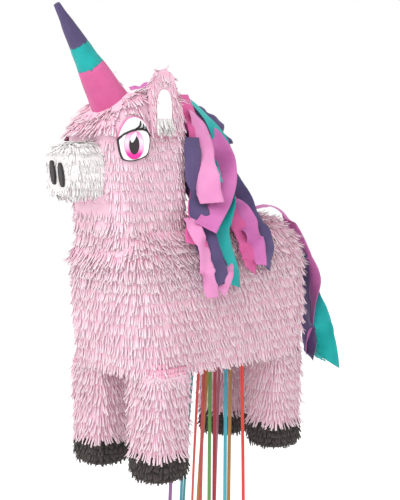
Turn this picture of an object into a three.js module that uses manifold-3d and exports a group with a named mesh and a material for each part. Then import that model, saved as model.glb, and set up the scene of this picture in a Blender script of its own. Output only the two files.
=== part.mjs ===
// A pull-string pinata in the shape of a unicorn: a corrugated-card carcass with a sweets chamber,
// covered in fringed crepe paper, with a card horn, crepe mane and tail, a ribbon-pulled trap door
// in the belly, a filling flap in the right flank and a cord loop on the back to hang it by.
//
// Millimetres. Heights in this file are measured up from the hoof soles, the animal faces -Y and its
// left side is +X. The exported group is lowered so that its origin is inside the top of the hanging
// loop, where the string that carries the pinata passes.
import * as THREE from 'three';
import { mergeVertices } from 'three/addons/utils/BufferGeometryUtils.js';
import { LoftGeometry } from 'three/addons/geometries/LoftGeometry.js';
import Module from 'manifold-3d';

// ---- Driving dimensions ------------------------------------------------------------------------

const GAP = 0.3; // between touching pieces
const FRINGE = 5; // glued rows of crepe fringe, root to mean tip
const CARD = 3; // single-wall corrugated card
const STICKER = 0.8; // eye, nostril and ear-lining card

const BELLY_Z = 135;
const BACK_Z = 325;
const CROWN_Z = 486;
const NECK_BACK_Y = -54;
const HEAD_HALF = 52; // half the width of head and neck
const MUZZLE_FRONT_Y = -224;
const HOOF_HEIGHT = 35;
const LEG_HALF = 30; // half the width of a leg over its fringe
const LEG_CORNER = 17;
const LEG_Y = 114; // from the middle of the body to a leg's middle
const FRONT_LEG_X = 57;
const REAR_LEG_X = 49;

const STRIP_HALF = 34; // half the width of the strip of card between the two sides

const DOOR_Y = 35; // middle of the trap door
const DOOR_SIZE = 88;
const DOOR_CLEARANCE = 1;

const FLAP_Y = 45; // middle of the filling flap
const FLAP_WIDTH = 72;
const FLAP_TOP_Z = 262;
const FLAP_BOTTOM_Z = 204;
const FLAP_CLEARANCE = 0.6;

const LOOP_Y = -5;
const LOOP_CORD = 3;
const LOOP_HALF = 10; // half the distance between the loop's two feet
const LOOP_PIVOT_Z = BACK_Z + 2;
const LOOP_TOP_Z = LOOP_PIVOT_Z + 42; // middle of the cord at the top of the loop
const HANG_Z = LOOP_TOP_Z - LOOP_CORD / 2;
const DOWEL_RADIUS = 4;
const DOWEL_LENGTH = 40;

const HORN_BASE = [0, -141, 472];
const HORN_LENGTH = 143;
const HORN_LEAN = THREE.MathUtils.degToRad(35.6);
const HORN_RADIUS = 25;
const HORN_TIP_RADIUS = 2.2;
const HORN_CARD = 1.2;
const HORN_WRAP = 1.2;
const HORN_BURIED = 34; // length of cone inside the forehead before it is cut to fit
const PINK_SHARE = 0.4; // of the horn's length, from its foot
const TEAL_SHARE = 0.62;

const EYE_MIDDLE = [52.9, -151, 428];
const EYE_TURN = THREE.MathUtils.degToRad(8);
const NOSTRIL_X = 8;
const NOSTRIL_Z = 386;

const EAR_Y = -104;
const EAR_FOOT_Z = 436;

const RIBBON_WIDTH = 5;
const RIBBON_LENGTH = 380;
const RIBBON_DROP = 4; // from the door's underside to the middle of a ribbon's top end
const STREAMER_WIDTH = 28;
const STREAMER_THICK = 1;

// ---- Colours -----------------------------------------------------------------------------------

const PINK = 0xf1cdd8, WHITE = 0xf4f0ee, HOOF = 0x2c2423, CARDBOARD = 0xb08d64;
const TEAL = 0x22b0a5, PURPLE = 0x5c5283, ORCHID = 0xcf74b6, MAGENTA = 0xe0649f, LIGHT_PINK = 0xe79ac6;
const RED = 0xd8362f, OCHRE = 0xb98d3a, GREEN = 0x54904d, CYAN = 0x4fb4c8, MAUVE = 0x9a7fb0;
const CORD = 0xf2efe8, WOOD = 0xc9a36c;

const pinata = new THREE.Group();

function add(name, geometry, color, parent = pinata) {
  const material = new THREE.MeshStandardMaterial({ color, roughness: 0.9, metalness: 0 });
  const mesh = new THREE.Mesh(geometry, material);
  mesh.name = name;
  parent.add(mesh);
  return mesh;
}

// ---- Cutting and joining -----------------------------------------------------------------------

const wasm = await Module();
wasm.setup();

function solid(geometry) {
  const bare = new THREE.BufferGeometry().copy(geometry);
  bare.deleteAttribute('normal');
  bare.deleteAttribute('uv');
  const merged = mergeVertices(bare, 1e-4);
  return new wasm.Manifold(new wasm.Mesh({
    numProp: 3,
    vertProperties: new Float32Array(merged.attributes.position.array),
    triVerts: new Uint32Array(merged.index.array),
  }));
}

function geometryOf(body) {
  const mesh = body.getMesh();
  const geometry = new THREE.BufferGeometry();
  geometry.setAttribute('position', new THREE.BufferAttribute(mesh.vertProperties, 3));
  geometry.setIndex(new THREE.BufferAttribute(mesh.triVerts, 1));
  const faceted = geometry.toNonIndexed();
  faceted.computeVertexNormals();
  return faceted;
}

// A block between two corners, as a cutter.
function block(low, high) {
  const size = high.map((v, i) => v - low[i]);
  const geometry = new THREE.BoxGeometry(...size);
  geometry.translate(...low.map((v, i) => v + size[i] / 2));
  return solid(geometry);
}

// ---- Rounded forms -----------------------------------------------------------------------------
// Each form is a stack of rounded rectangles. A ring gives its place along the stack, half its width,
// its near and far edge, and the corner radii at the near and far edge.

const ring = (at, half, near, far, nearCorner, farCorner = nearCorner) =>
  ({ at, half, near, far, nearCorner, farCorner });

const TRUNK = [
  ring(BELLY_Z, 84, -150, 156, 36, 42),
  ring(200, 81, -163, 176, 42, 55),
  ring(270, 72, -170, 186, 38, 60),
  ring(285, 69, -170, 183, 36, 60),
  ring(300, 62, -165, 174, 34, 56),
  ring(313, 53, -160, 160, 32, 50),
  ring(321, 40, -150, 142, 28, 36),
  ring(BACK_Z, 24, -130, 120, 18, 20),
];

const HEAD = [
  ring(290, 50, -166, NECK_BACK_Y, 16, 16),
  ring(350, HEAD_HALF, -171, NECK_BACK_Y, 16, 16),
  ring(366, HEAD_HALF, -179, NECK_BACK_Y, 24, 16),
  ring(442, HEAD_HALF, -182, NECK_BACK_Y, 26, 16),
  ring(456, 51, -171, NECK_BACK_Y, 26, 16),
  ring(470, 50, -155, NECK_BACK_Y - 1, 24, 16),
  ring(481, 47, -142, NECK_BACK_Y - 4, 20, 16),
  ring(CROWN_Z, 40, -132, NECK_BACK_Y - 12, 14, 12),
];

// Stacked forwards: near and far are the heights of the lower and upper edge.
const MUZZLE = [
  ring(150, 33, 355, 425, 20),
  ring(200, 32, 357, 424, 20),
  ring(216, 29, 360, 421, 18),
  ring(-MUZZLE_FRONT_Y, 23, 366, 415, 14),
];

const LEG_TOP = BELLY_Z + FRINGE;
const square = (at, half, corner) => ring(at, half, -half, half, corner);
const LEG = [
  square(HOOF_HEIGHT, LEG_HALF, LEG_CORNER),
  square(70, LEG_HALF + 1, LEG_CORNER),
  square(LEG_TOP, LEG_HALF + 3, LEG_CORNER + 1),
];
const HOOF_FORM = [
  square(0, 25, 18),
  square(5, 30, 20),
  square(16, 33, 21),
  square(HOOF_HEIGHT, 32, 19),
];

const CORNER_STEPS = 3;

function corner(u, v, radius, quarter) {
  return Array.from({ length: CORNER_STEPS + 1 }, (_, i) => {
    const a = (quarter + i / CORNER_STEPS) * Math.PI / 2;
    return [u + radius * Math.cos(a), v + radius * Math.sin(a)];
  });
}

// The outline of a ring drawn in by inset, counterclockwise.
function outline(r, inset) {
  const half = r.half - inset, near = r.near + inset, far = r.far - inset;
  const a = Math.max(r.nearCorner - inset, 2), b = Math.max(r.farCorner - inset, 2);
  return [
    ...corner(half - b, far - b, b, 0),
    ...corner(b - half, far - b, b, 1),
    ...corner(a - half, near + a, a, 2),
    ...corner(half - a, near + a, a, 3),
  ];
}

function form(rings, inset = 0, upright = true) {
  const first = rings[0].at, last = rings.at(-1).at;
  const middle = (first + last) / 2, shrink = 1 - 2 * inset / (last - first);
  const sections = rings.map((r) => {
    const at = middle + (r.at - middle) * shrink;
    return outline(r, inset).map(([u, v]) =>
      upright ? new THREE.Vector3(u, v, at) : new THREE.Vector3(u, -at, v));
  });
  return solid(new LoftGeometry(sections, { capStart: true, capEnd: true }));
}

const CARD_FACE = FRINGE + GAP;
const CARD_BACK = CARD_FACE + CARD;
const body = (inset) => form(TRUNK, inset).add(form(HEAD, inset));
const hide = body(0); // outside of the fringe
const hideClear = body(-GAP); // the same, with room for a piece that lies on it
const fringeBack = body(FRINGE);
const cardFace = body(CARD_FACE);
const cardBack = body(CARD_BACK);

// ---- Trap door and filling flap ----------------------------------------------------------------

const BELLY_CARD_LOW = BELLY_Z + CARD_FACE; // the belly panel is the floor of the card box
const BELLY_CARD_HIGH = BELLY_Z + CARD_BACK;
const doorHalf = DOOR_SIZE / 2;
const doorBlock = (grow, low, high) => block(
  [-doorHalf - grow, DOOR_Y - doorHalf - grow, low],
  [doorHalf + grow, DOOR_Y + doorHalf + grow, high]);

add('trap_door', geometryOf(doorBlock(0, BELLY_CARD_LOW, BELLY_CARD_HIGH)), CARDBOARD);
const doorHole = doorBlock(DOOR_CLEARANCE, BELLY_Z - 20, BELLY_CARD_HIGH + 1);
const doorRecess = doorBlock(4, BELLY_Z - 20, BELLY_CARD_LOW);

const FAR = 400; // past the outside of everything
const flapBlock = (grow) => block(
  [-FAR, FLAP_Y - FLAP_WIDTH / 2 - grow, FLAP_BOTTOM_Z - grow],
  [-HEAD_HALF, FLAP_Y + FLAP_WIDTH / 2 + grow, FLAP_TOP_Z + grow]);
add('fill_flap', geometryOf(hide.subtract(cardBack).intersect(flapBlock(0))), PINK);
const flapHole = flapBlock(FLAP_CLEARANCE);

// ---- Card carcass ------------------------------------------------------------------------------

const HALF_GAP = GAP / 2;
const CROWN_CUT = 450; // the forehead and crown panel starts here
const NAPE_CUT = -110; // between the front and the back strips
const RUMP_CUT = 290;

const slab = (low, high) => block(
  [low[0] ?? -FAR, low[1] ?? -FAR, low[2] ?? -FAR],
  [high[0] ?? FAR, high[1] ?? FAR, high[2] ?? 2 * FAR]);

const legPlaces = [
  ['front_left', FRONT_LEG_X, -LEG_Y], ['front_right', -FRONT_LEG_X, -LEG_Y],
  ['rear_left', REAR_LEG_X, LEG_Y], ['rear_right', -REAR_LEG_X, LEG_Y],
];

const cordHoles = [-LOOP_HALF, LOOP_HALF].map((x) => {
  const hole = new THREE.CylinderGeometry(LOOP_CORD / 2 + GAP, LOOP_CORD / 2 + GAP, 60, 12);
  hole.rotateX(Math.PI / 2);
  hole.translate(x, LOOP_Y, BACK_Z);
  return solid(hole);
}).reduce((a, b) => a.add(b));

const shell = cardFace.subtract(cardBack).subtract(doorHole).subtract(flapHole).subtract(cordHoles);
const walls = shell.intersect(slab([, , BELLY_CARD_HIGH + GAP], []));
const strip = walls.intersect(slab([HALF_GAP - STRIP_HALF], [STRIP_HALF - HALF_GAP]));
const backStrip = strip.intersect(slab([, NAPE_CUT + HALF_GAP], [, , CROWN_CUT - HALF_GAP]));
const rumpBlock = (grow) => slab([, 100 - grow], [, , RUMP_CUT + grow]);

const carcass = {
  left_side: walls.intersect(slab([STRIP_HALF + HALF_GAP], [])),
  right_side: walls.intersect(slab([], [-STRIP_HALF - HALF_GAP])),
  belly_panel: shell.intersect(slab([], [, , BELLY_CARD_HIGH])),
  chest_face_strip: strip.intersect(slab([], [, NAPE_CUT - HALF_GAP, CROWN_CUT - HALF_GAP])),
  crown_panel: strip.intersect(slab([, , CROWN_CUT + HALF_GAP], [])),
  nape_back_strip: backStrip.subtract(rumpBlock(HALF_GAP)),
  rump_strip: backStrip.intersect(rumpBlock(-HALF_GAP)),
};
for (const [name, panel] of Object.entries(carcass)) add(name, geometryOf(panel), CARDBOARD);

// ---- Muzzle ------------------------------------------------------------------------------------

const muzzle = (inset) => form(MUZZLE, inset, false);
const inFront = slab([], [, -160, ]);
add('muzzle_box', geometryOf(muzzle(CARD_FACE).subtract(muzzle(CARD_BACK)).intersect(inFront)
  .subtract(body(CARD_FACE - GAP))), CARDBOARD);
add('muzzle_fringe', geometryOf(muzzle(0).subtract(muzzle(FRINGE)).intersect(inFront)
  .subtract(hideClear)), WHITE);

for (const [side, sign] of [['left', 1], ['right', -1]]) {
  const spot = new THREE.Shape();
  spot.absellipse(0, 0, 5, 14, 0, 2 * Math.PI);
  const geometry = new THREE.ExtrudeGeometry(spot,
    { depth: STICKER, bevelEnabled: false, curveSegments: 8 });
  const nostril = add(`nostril_${side}`, geometry, HOOF);
  nostril.rotation.set(Math.PI / 2, 0, 0);
  nostril.position.set(sign * NOSTRIL_X, MUZZLE_FRONT_Y - GAP, NOSTRIL_Z);
}

// ---- Legs and hooves ---------------------------------------------------------------------------

const TUBE_FOOT = 3; // the card tube stands this far above the sole of the hoof
const legForm = (inset, low) => form([{ ...LEG[0], at: low + inset }, ...LEG.slice(1),
  { ...LEG.at(-1), at: LEG_TOP + 60 }], inset);
const legsClear = [];

for (const [place, x, y] of legPlaces) {
  const leg = new THREE.Group();
  leg.position.set(x, y, 0);
  pinata.add(leg);

  const tube = legForm(CARD_FACE, TUBE_FOOT - CARD_FACE).subtract(legForm(CARD_BACK, TUBE_FOOT - CARD_FACE));
  const below = (z) => slab([], [, , z]);
  add(`leg_tube_${place}`, geometryOf(tube.intersect(below(BELLY_CARD_LOW - GAP))), CARDBOARD, leg);

  const sleeve = legForm(0, -FRINGE).subtract(legForm(FRINGE, -2 * FRINGE));
  const between = slab([, , HOOF_HEIGHT + GAP], [, , BELLY_Z - GAP]);
  add(`leg_fringe_${place}`, geometryOf(sleeve.intersect(between)), PINK, leg);

  const hoof = form(HOOF_FORM).subtract(legForm(FRINGE, TUBE_FOOT - CARD_FACE));
  add(`hoof_${place}`, geometryOf(hoof), HOOF, leg);

  legsClear.push(legForm(CARD_FACE - GAP, 0).intersect(below(BELLY_CARD_LOW)).translate([x, y, 0]));
}

// ---- Horn --------------------------------------------------------------------------------------

const hornPlace = new THREE.Object3D();
hornPlace.position.set(...HORN_BASE);
hornPlace.rotation.x = HORN_LEAN;
hornPlace.updateMatrix();

// Radius at a height along the horn, out from the card by offset.
const hornRadius = (height, offset) =>
  HORN_RADIUS + (HORN_TIP_RADIUS - HORN_RADIUS) * height / HORN_LENGTH + offset;

// The turned solid between two heights along the horn.
function turned(low, high, offset) {
  const profile = [[0, low], [hornRadius(low, offset), low], [hornRadius(high, offset), high], [0, high]];
  const geometry = new THREE.LatheGeometry(profile.map(([r, h]) => new THREE.Vector2(r, h)), 20);
  geometry.rotateX(Math.PI / 2);
  geometry.applyMatrix4(hornPlace.matrix);
  return solid(geometry);
}

// A crepe wrap round the card between two heights.
const wrap = (low, high) => turned(low, high, HORN_WRAP).subtract(turned(low - 1, high + 1, GAP));

const foot = -HORN_BURIED, pinkTop = HORN_LENGTH * PINK_SHARE, tealTop = HORN_LENGTH * TEAL_SHARE;
const CONE_TIP_SOLID = 14; // the cone's last stretch has no hollow
add('horn_cone', geometryOf(turned(foot, HORN_LENGTH, 0)
  .subtract(turned(foot - 1, HORN_LENGTH - CONE_TIP_SOLID, -HORN_CARD))
  .subtract(body(CARD_FACE - GAP))), CARDBOARD);
add('horn_wrap_pink', geometryOf(wrap(foot, pinkTop).subtract(hideClear)), MAGENTA);
add('horn_wrap_teal', geometryOf(wrap(pinkTop + GAP, tealTop)), TEAL);
add('horn_wrap_purple', geometryOf(wrap(tealTop + GAP, HORN_LENGTH)), PURPLE);
const hornClear = turned(foot, HORN_LENGTH, GAP);

// ---- Hanging loop ------------------------------------------------------------------------------

// A round cord along a path, in steps of the given number.
function cord(points, width, steps) {
  const section = new THREE.Shape();
  section.absarc(0, 0, width / 2, 0, 2 * Math.PI);
  const extrudePath = new THREE.CatmullRomCurve3(points.map((p) => new THREE.Vector3(...p)));
  return new THREE.ExtrudeGeometry(section, { extrudePath, steps, curveSegments: 4 });
}

const loopHeight = LOOP_TOP_Z - LOOP_PIVOT_Z;
const loopRoute = [[-1, 0], [-1, 0.45], [-0.75, 0.83], [0, 1], [0.75, 0.83], [1, 0.45], [1, 0]]
  .map(([u, v]) => [u * LOOP_HALF, LOOP_Y, LOOP_PIVOT_Z + v * loopHeight]);
add('hang_loop', cord(loopRoute, LOOP_CORD, 20), CORD);

// Inside, the cord runs up from the dowel that it is tied round.
const roofZ = BACK_Z - CARD_BACK;
const dowelZ = roofZ - DOWEL_RADIUS - 4;
const dowel = new THREE.CylinderGeometry(DOWEL_RADIUS, DOWEL_RADIUS, DOWEL_LENGTH, 12);
dowel.rotateZ(Math.PI / 2);
dowel.translate(0, LOOP_Y, dowelZ);
const risers = [-LOOP_HALF, LOOP_HALF].map((x) => {
  const top = LOOP_PIVOT_Z - LOOP_CORD / 2 - GAP;
  const riser = new THREE.CylinderGeometry(LOOP_CORD / 2, LOOP_CORD / 2, top - dowelZ, 8);
  riser.rotateX(Math.PI / 2);
  riser.translate(x, LOOP_Y, (top + dowelZ) / 2);
  return solid(riser);
});
add('loop_dowel', geometryOf(solid(dowel).add(risers[0]).add(risers[1])), WOOD);

// ---- Fringe ------------------------------------------------------------------------------------

const NECK_SEAM = BACK_Z + 4; // the trunk's fringe ends and the neck's begins
let fringe = hide.subtract(fringeBack).subtract(doorRecess).subtract(flapHole)
  .subtract(cordHoles).subtract(hornClear).subtract(muzzle(FRINGE - GAP).intersect(inFront));
for (const leg of legsClear) fringe = fringe.subtract(leg);
add('trunk_fringe', geometryOf(fringe.intersect(slab([], [, , NECK_SEAM - HALF_GAP]))), PINK);
add('head_fringe', geometryOf(fringe.intersect(slab([, , NECK_SEAM + HALF_GAP], []))), PINK);

// ---- Eyes and ears -----------------------------------------------------------------------------

const EAR_OUTLINE = [[-18, 0], [18, 0], [23, 50], [18, 70], [4, 80], [-10, 76], [-22, 56]];
const LINING_OUTLINE = [[-10, 0], [10, 0], [11, 40], [6, 50], [0, 53], [-6, 50], [-11, 40]];

// A flat card whose outline is in the plane of the animal's side, (along it, up), facing sideways.
function sideCard(shape, thick, sign, x, turn) {
  const geometry = new THREE.ExtrudeGeometry(shape,
    { depth: thick, bevelEnabled: false, curveSegments: 10 });
  geometry.rotateX(Math.PI / 2);
  geometry.rotateZ(Math.PI / 2);
  if (sign < 0) geometry.rotateZ(Math.PI);
  geometry.rotateZ(-sign * turn);
  return geometry.translate(sign * x, 0, 0);
}

function smoothShape(points, sign) {
  const shape = new THREE.Shape();
  shape.setFromPoints(points.map(([u, v]) => new THREE.Vector2(sign * u, v)));
  return shape;
}

for (const [side, sign] of [['left', 1], ['right', -1]]) {
  const iris = new THREE.Shape();
  iris.absellipse(0, 0, 25, 27, 0, 2 * Math.PI);
  const eye = add(`eye_${side}`, sideCard(iris, STICKER, sign, EYE_MIDDLE[0], EYE_TURN), WHITE);
  eye.position.set(0, EYE_MIDDLE[1], EYE_MIDDLE[2]);

  const ear = new THREE.Group();
  ear.position.set(0, EAR_Y, EAR_FOOT_Z);
  pinata.add(ear);
  const earX = HEAD_HALF + GAP;
  add(`ear_${side}`, sideCard(smoothShape(EAR_OUTLINE, sign), FRINGE, sign, earX, 0), PINK, ear);
  add(`ear_lining_${side}`, sideCard(smoothShape(LINING_OUTLINE, sign), STICKER, sign,
    earX + FRINGE + GAP, 0), WHITE, ear);
}

// ---- Ribbons, in rows on the trap door ----------------------------------------------------------
// Each hangs from the door's underside; its end lies a little out from its start.

const ROW_Y = [DOOR_Y - 24, DOOR_Y, DOOR_Y + 24];
const LANE = 7; // each ribbon has a lane of its own from side to side, so no two ever cross
const FAN = 0.3; // how far the ribbons spread sideways, as a share of their place at the top
const SIDE_DRIFT = -8, BACK_DRIFT = -6; // where all the ribbons' ends have swung to
const RIBBONS = [
  ['mauve', MAUVE, 0, -5.5, 2], ['cyan', CYAN, 0, -2.5, -2], ['orange', OCHRE, 0, 0.5, -6],
  ['green', GREEN, 0, 3.5, 4], ['teal', TEAL, 1, -4.5, -4], ['pink', MAGENTA, 1, -1.5, 6],
  ['dark_red', RED, 1, 1.5, 8], ['light_blue', CYAN, 1, 4.5, 2], ['ochre', OCHRE, 2, -3.5, -8],
  ['orchid', ORCHID, 2, -0.5, 2], ['dark_ochre', OCHRE, 2, 2.5, 4], ['red', RED, 2, 5.5, 8],
];
const RIBBON_TOP = BELLY_CARD_LOW - RIBBON_DROP;
const ROUTE_STOPS = [0, 0.04, 0.2, 0.45, 0.72, 1]; // shares of the ribbon's length
for (const [name, color, row, lane, outY] of RIBBONS) {
  const route = ROUTE_STOPS.map((t) => {
    const spread = Math.sin(t * Math.PI / 2);
    const x = lane * LANE * (1 + FAN * spread) + SIDE_DRIFT * spread;
    return [x, ROW_Y[row] + (outY + BACK_DRIFT) * spread, RIBBON_TOP - RIBBON_LENGTH * t];
  });
  add(`ribbon_${name}`, cord(route, RIBBON_WIDTH, 20), color);
}

// ---- Mane and tail -----------------------------------------------------------------------------
// Crepe streamers: flat strips whose width lies along the given direction.

function streamer(points, acrossTop, acrossEnd) {
  const curve = new THREE.CatmullRomCurve3(points.map((p) => new THREE.Vector3(...p)));
  const top = new THREE.Vector3(...acrossTop), end = new THREE.Vector3(...acrossEnd);
  const steps = 2 * points.length;
  const sections = Array.from({ length: steps + 1 }, (_, i) => {
    const middle = curve.getPoint(i / steps);
    const along = curve.getTangent(i / steps);
    const side = top.clone().lerp(end, i / steps);
    side.addScaledVector(along, -side.dot(along)).normalize();
    const out = new THREE.Vector3().crossVectors(along, side).normalize();
    return [[1, 1], [-1, 1], [-1, -1], [1, -1]].map(([u, v]) => middle.clone()
      .addScaledVector(side, u * STREAMER_WIDTH / 2).addScaledVector(out, v * STREAMER_THICK / 2));
  });
  return new LoftGeometry(sections, { capStart: true, capEnd: true });
}

const SLANT = [1, 1.1, 0], CROWNWARDS = [-0.7, 0.6, 0.4];
const BACKWARDS = [0, 1, 0], CROSSWISE = [1, -0.6, 0];
const STREAMERS = [
  ['mane_teal', TEAL, SLANT, BACKWARDS, [[12, -32, 486], [27, -11, 473], [42, 12, 439], [54, 17, 397],
    [62, 12, 350], [79, -8, 299], [86, -9, 266], [89, -2, 233]]],
  ['mane_purple', PURPLE, CROWNWARDS, BACKWARDS, [[6, -14, 478], [15, 16, 456], [26, 36, 420],
    [40, 40, 376], [60, 48, 333], [78, 55, 295], [84, 64, 260]]],
  ['mane_orchid', ORCHID, CROWNWARDS, BACKWARDS, [[0, 8, 458], [8, 34, 430], [20, 56, 387],
    [34, 68, 343], [58, 80, 318], [78, 88, 290], [84, 94, 264]]],
  ['mane_pink', LIGHT_PINK, [0.5, 1, 0], BACKWARDS, [[36, -38, 470], [52, -36, 442], [64, -26, 403],
    [68, -22, 364], [78, -40, 333], [88, -46, 308]]],
  ['mane_violet', PURPLE, BACKWARDS, BACKWARDS, [[57, -58, 428], [63, -58, 397], [72, -50, 352],
    [94, -40, 305], [97, -28, 241]]],
  ['mane_magenta', MAGENTA, BACKWARDS, BACKWARDS, [[64, -69, 346], [76, -73, 317], [89, -71, 280],
    [92, -60, 228]]],
  ['tail_orchid', ORCHID, CROSSWISE, CROSSWISE, [[20, 110, 329], [18, 140, 324], [18, 168, 310],
    [17, 196, 278], [22, 212, 233], [24, 221, 179], [16, 228, 124], [12, 230, 96]]],
  ['tail_purple', PURPLE, CROSSWISE, CROSSWISE, [[19, 112, 333], [19, 146, 329], [20, 182, 310],
    [22, 208, 272], [24, 225, 216], [23, 236, 161], [17, 242, 106]]],
  ['tail_teal', TEAL, CROSSWISE, CROSSWISE, [[18, 116, 337], [20, 154, 333], [23, 194, 312],
    [26, 220, 265], [28, 238, 208], [34, 250, 154], [38, 262, 111], [34, 266, 85]]],
];
for (const [name, color, acrossTop, acrossEnd, points] of STREAMERS) {
  add(name, streamer(points, acrossTop, acrossEnd), color);
}

pinata.position.set(0, -LOOP_Y, -HANG_Z);

export default pinata;
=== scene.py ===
# %% [markdown]
# # A pull-string unicorn pinata
# The card body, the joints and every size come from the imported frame. This script dresses it: rows of
# fringed crepe paper, a wrapped horn, printed eyes, crepe streamers and satin pull ribbons. All sizes
# are metres. The animal faces -Y, its left side is +X, and the origin is where it hangs.

# %% Load the frame
import math
import bmesh
import bpy
import numpy as np
from mathutils import Matrix, Vector
from mathutils.bvhtree import BVHTree


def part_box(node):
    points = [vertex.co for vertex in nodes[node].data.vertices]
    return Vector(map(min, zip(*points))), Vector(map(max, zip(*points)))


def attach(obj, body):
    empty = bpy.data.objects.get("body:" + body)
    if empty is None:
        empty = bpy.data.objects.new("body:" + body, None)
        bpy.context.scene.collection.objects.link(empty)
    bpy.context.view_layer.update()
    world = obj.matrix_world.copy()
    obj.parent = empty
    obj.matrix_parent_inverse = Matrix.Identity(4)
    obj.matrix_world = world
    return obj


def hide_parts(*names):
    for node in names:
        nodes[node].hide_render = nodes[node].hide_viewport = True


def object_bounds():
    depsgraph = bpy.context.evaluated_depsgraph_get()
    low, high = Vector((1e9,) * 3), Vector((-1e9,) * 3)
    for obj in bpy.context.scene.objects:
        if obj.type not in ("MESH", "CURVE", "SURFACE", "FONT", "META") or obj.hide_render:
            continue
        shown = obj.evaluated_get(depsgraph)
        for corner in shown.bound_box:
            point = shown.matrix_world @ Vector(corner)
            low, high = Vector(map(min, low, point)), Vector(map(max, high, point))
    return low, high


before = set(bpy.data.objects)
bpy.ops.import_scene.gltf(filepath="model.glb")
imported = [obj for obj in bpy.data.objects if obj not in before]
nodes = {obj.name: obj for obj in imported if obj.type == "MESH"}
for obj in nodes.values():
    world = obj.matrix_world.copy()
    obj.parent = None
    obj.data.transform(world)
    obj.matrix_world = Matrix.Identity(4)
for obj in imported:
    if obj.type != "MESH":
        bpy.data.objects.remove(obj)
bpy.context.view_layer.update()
MM = 0.001


def middle(node):
    """The middle of a node's box at rest."""
    low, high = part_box(node)
    return (Vector(low) + Vector(high)) / 2


sole_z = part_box("hoof_front_left")[0][2]
belly_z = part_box("trunk_fringe")[0][2]
crown_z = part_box("head_fringe")[1][2]
legs_y = middle("hoof_front_left").y / 2 + middle("hoof_rear_left").y / 2


def place(x, y, z):
    """Millimetres across, back from the middle of the legs and up from the hoof soles, as a point."""
    return Vector((x * MM, legs_y + y * MM, sole_z + z * MM))


# %% [markdown]
# ## Camera
# The camera looks from the animal's front left, a little above its middle, through a short telephoto
# lens. Azimuth 0 looks along +Y, so the camera stands at (sin a, -cos a) from the middle of the legs.

# %% Camera
AZIMUTH = math.radians(45.5)
LOOK_DOWN = math.radians(4.66)
CAMERA_DISTANCE = 1.390
CAMERA_ABOVE_SOLES = 0.394
SIDESTEP = 0.011  # to the camera's right
LENS = 73.3

bpy.ops.object.select_all(action="DESELECT")
bpy.ops.object.camera_add(
    location=(
        CAMERA_DISTANCE * math.sin(AZIMUTH) + SIDESTEP * math.cos(AZIMUTH),
        legs_y - CAMERA_DISTANCE * math.cos(AZIMUTH) + SIDESTEP * math.sin(AZIMUTH),
        sole_z + CAMERA_ABOVE_SOLES,
    ),
    rotation=(math.radians(90) - LOOK_DOWN, 0, AZIMUTH),
)
camera = bpy.context.object
camera.name = "camera"
camera.data.lens = LENS
bpy.context.scene.camera = camera
print("camera at", [round(v, 3) for v in camera.location])

# %% [markdown]
# ## Building blocks of the finishes
# Each finish is a Principled shader fed by noise on object coordinates, so its pattern keeps its size on
# every piece. These helpers wire the few nodes that come back in all of them.

# %% Material helpers


def new_material(name, roughness, sheen=0.0, specular=0.3):
    """A node material with its tree and its shader."""
    material = bpy.data.materials.new(name)
    material.use_nodes = True
    shader = material.node_tree.nodes["Principled BSDF"]
    shader.inputs["Roughness"].default_value = roughness
    shader.inputs["Specular IOR Level"].default_value = specular
    shader.inputs["Sheen Weight"].default_value = sheen
    return material, material.node_tree, shader


def node_of(tree, kind, **values):
    """A new node, with each value set on its socket of that name, or else on the node itself."""
    made = tree.nodes.new(kind)
    for key, value in values.items():
        if key in made.inputs:
            made.inputs[key].default_value = value
        else:
            setattr(made, key, value)
    return made


def colour_ramp(tree, factor, stops):
    """The colour output of a ramp through (position, colour) stops."""
    ramp = tree.nodes.new("ShaderNodeValToRGB")
    elements = ramp.color_ramp.elements
    for end in (0, -1):
        elements[end].position = stops[end][0]
        elements[end].color = (*stops[end][1], 1)
    for position, colour in stops[1:-1]:
        elements.new(position).color = (*colour, 1)
    tree.links.new(factor, ramp.inputs["Fac"])
    return ramp.outputs["Color"]


def add_bump(tree, shader, height, strength, distance):
    """Relief from a height, as the shader's normal."""
    bump = node_of(tree, "ShaderNodeBump", Strength=strength, Distance=distance)
    tree.links.new(height, bump.inputs["Height"])
    tree.links.new(bump.outputs["Normal"], shader.inputs["Normal"])


def stretched_noise(tree, stretch, detail=3.0):
    """Noise on object coordinates with a scale of its own along each axis, per metre."""
    where = tree.nodes.new("ShaderNodeTexCoord")
    mapping = node_of(tree, "ShaderNodeMapping", Scale=stretch)
    noise = node_of(tree, "ShaderNodeTexNoise", Scale=1.0, Detail=detail)
    tree.links.new(where.outputs["Object"], mapping.inputs["Vector"])
    tree.links.new(mapping.outputs["Vector"], noise.inputs["Vector"])
    return noise.outputs["Fac"]


print("material helpers ready")

# %% [markdown]
# ## Papers, card and satin
# Crepe paper is matt and crinkled across its grain. Each tab of the fringe has painted shade at its root, under
# the row above, and painted light at its tip, and tabs differ a little in tone, which two attributes of the mesh
# carry.

# %% Kinds of finish


def fringe_paper_painted_shade(name, root, body, tip):
    """Fringed tissue, with painted shade at the root where it goes under the row above and painted light at the
    tip.
    """
    material, tree, shader = new_material(name, 0.85, sheen=0.1)
    along = node_of(tree, "ShaderNodeAttribute", attribute_name="along")
    tone = node_of(tree, "ShaderNodeAttribute", attribute_name="tone")
    # Painted shade and light: darker at the root, where the row above shades the tab, and paler at the tip, where
    # light shows through.
    colour = colour_ramp(tree, along.outputs["Fac"], [(0.0, root), (0.45, body), (1.0, tip)])
    shade = node_of(tree, "ShaderNodeMixRGB", blend_type="MULTIPLY", Fac=1.0)
    level = colour_ramp(tree, tone.outputs["Fac"], [(0.0, (0.94, 0.88, 0.91)), (1.0, (1.0, 1.0, 1.0))])
    tree.links.new(colour, shade.inputs["Color1"])
    tree.links.new(level, shade.inputs["Color2"])
    tree.links.new(shade.outputs["Color"], shader.inputs["Base Color"])
    add_bump(tree, shader, stretched_noise(tree, (900, 900, 350)), 0.12, 0.0004)
    return material


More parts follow.
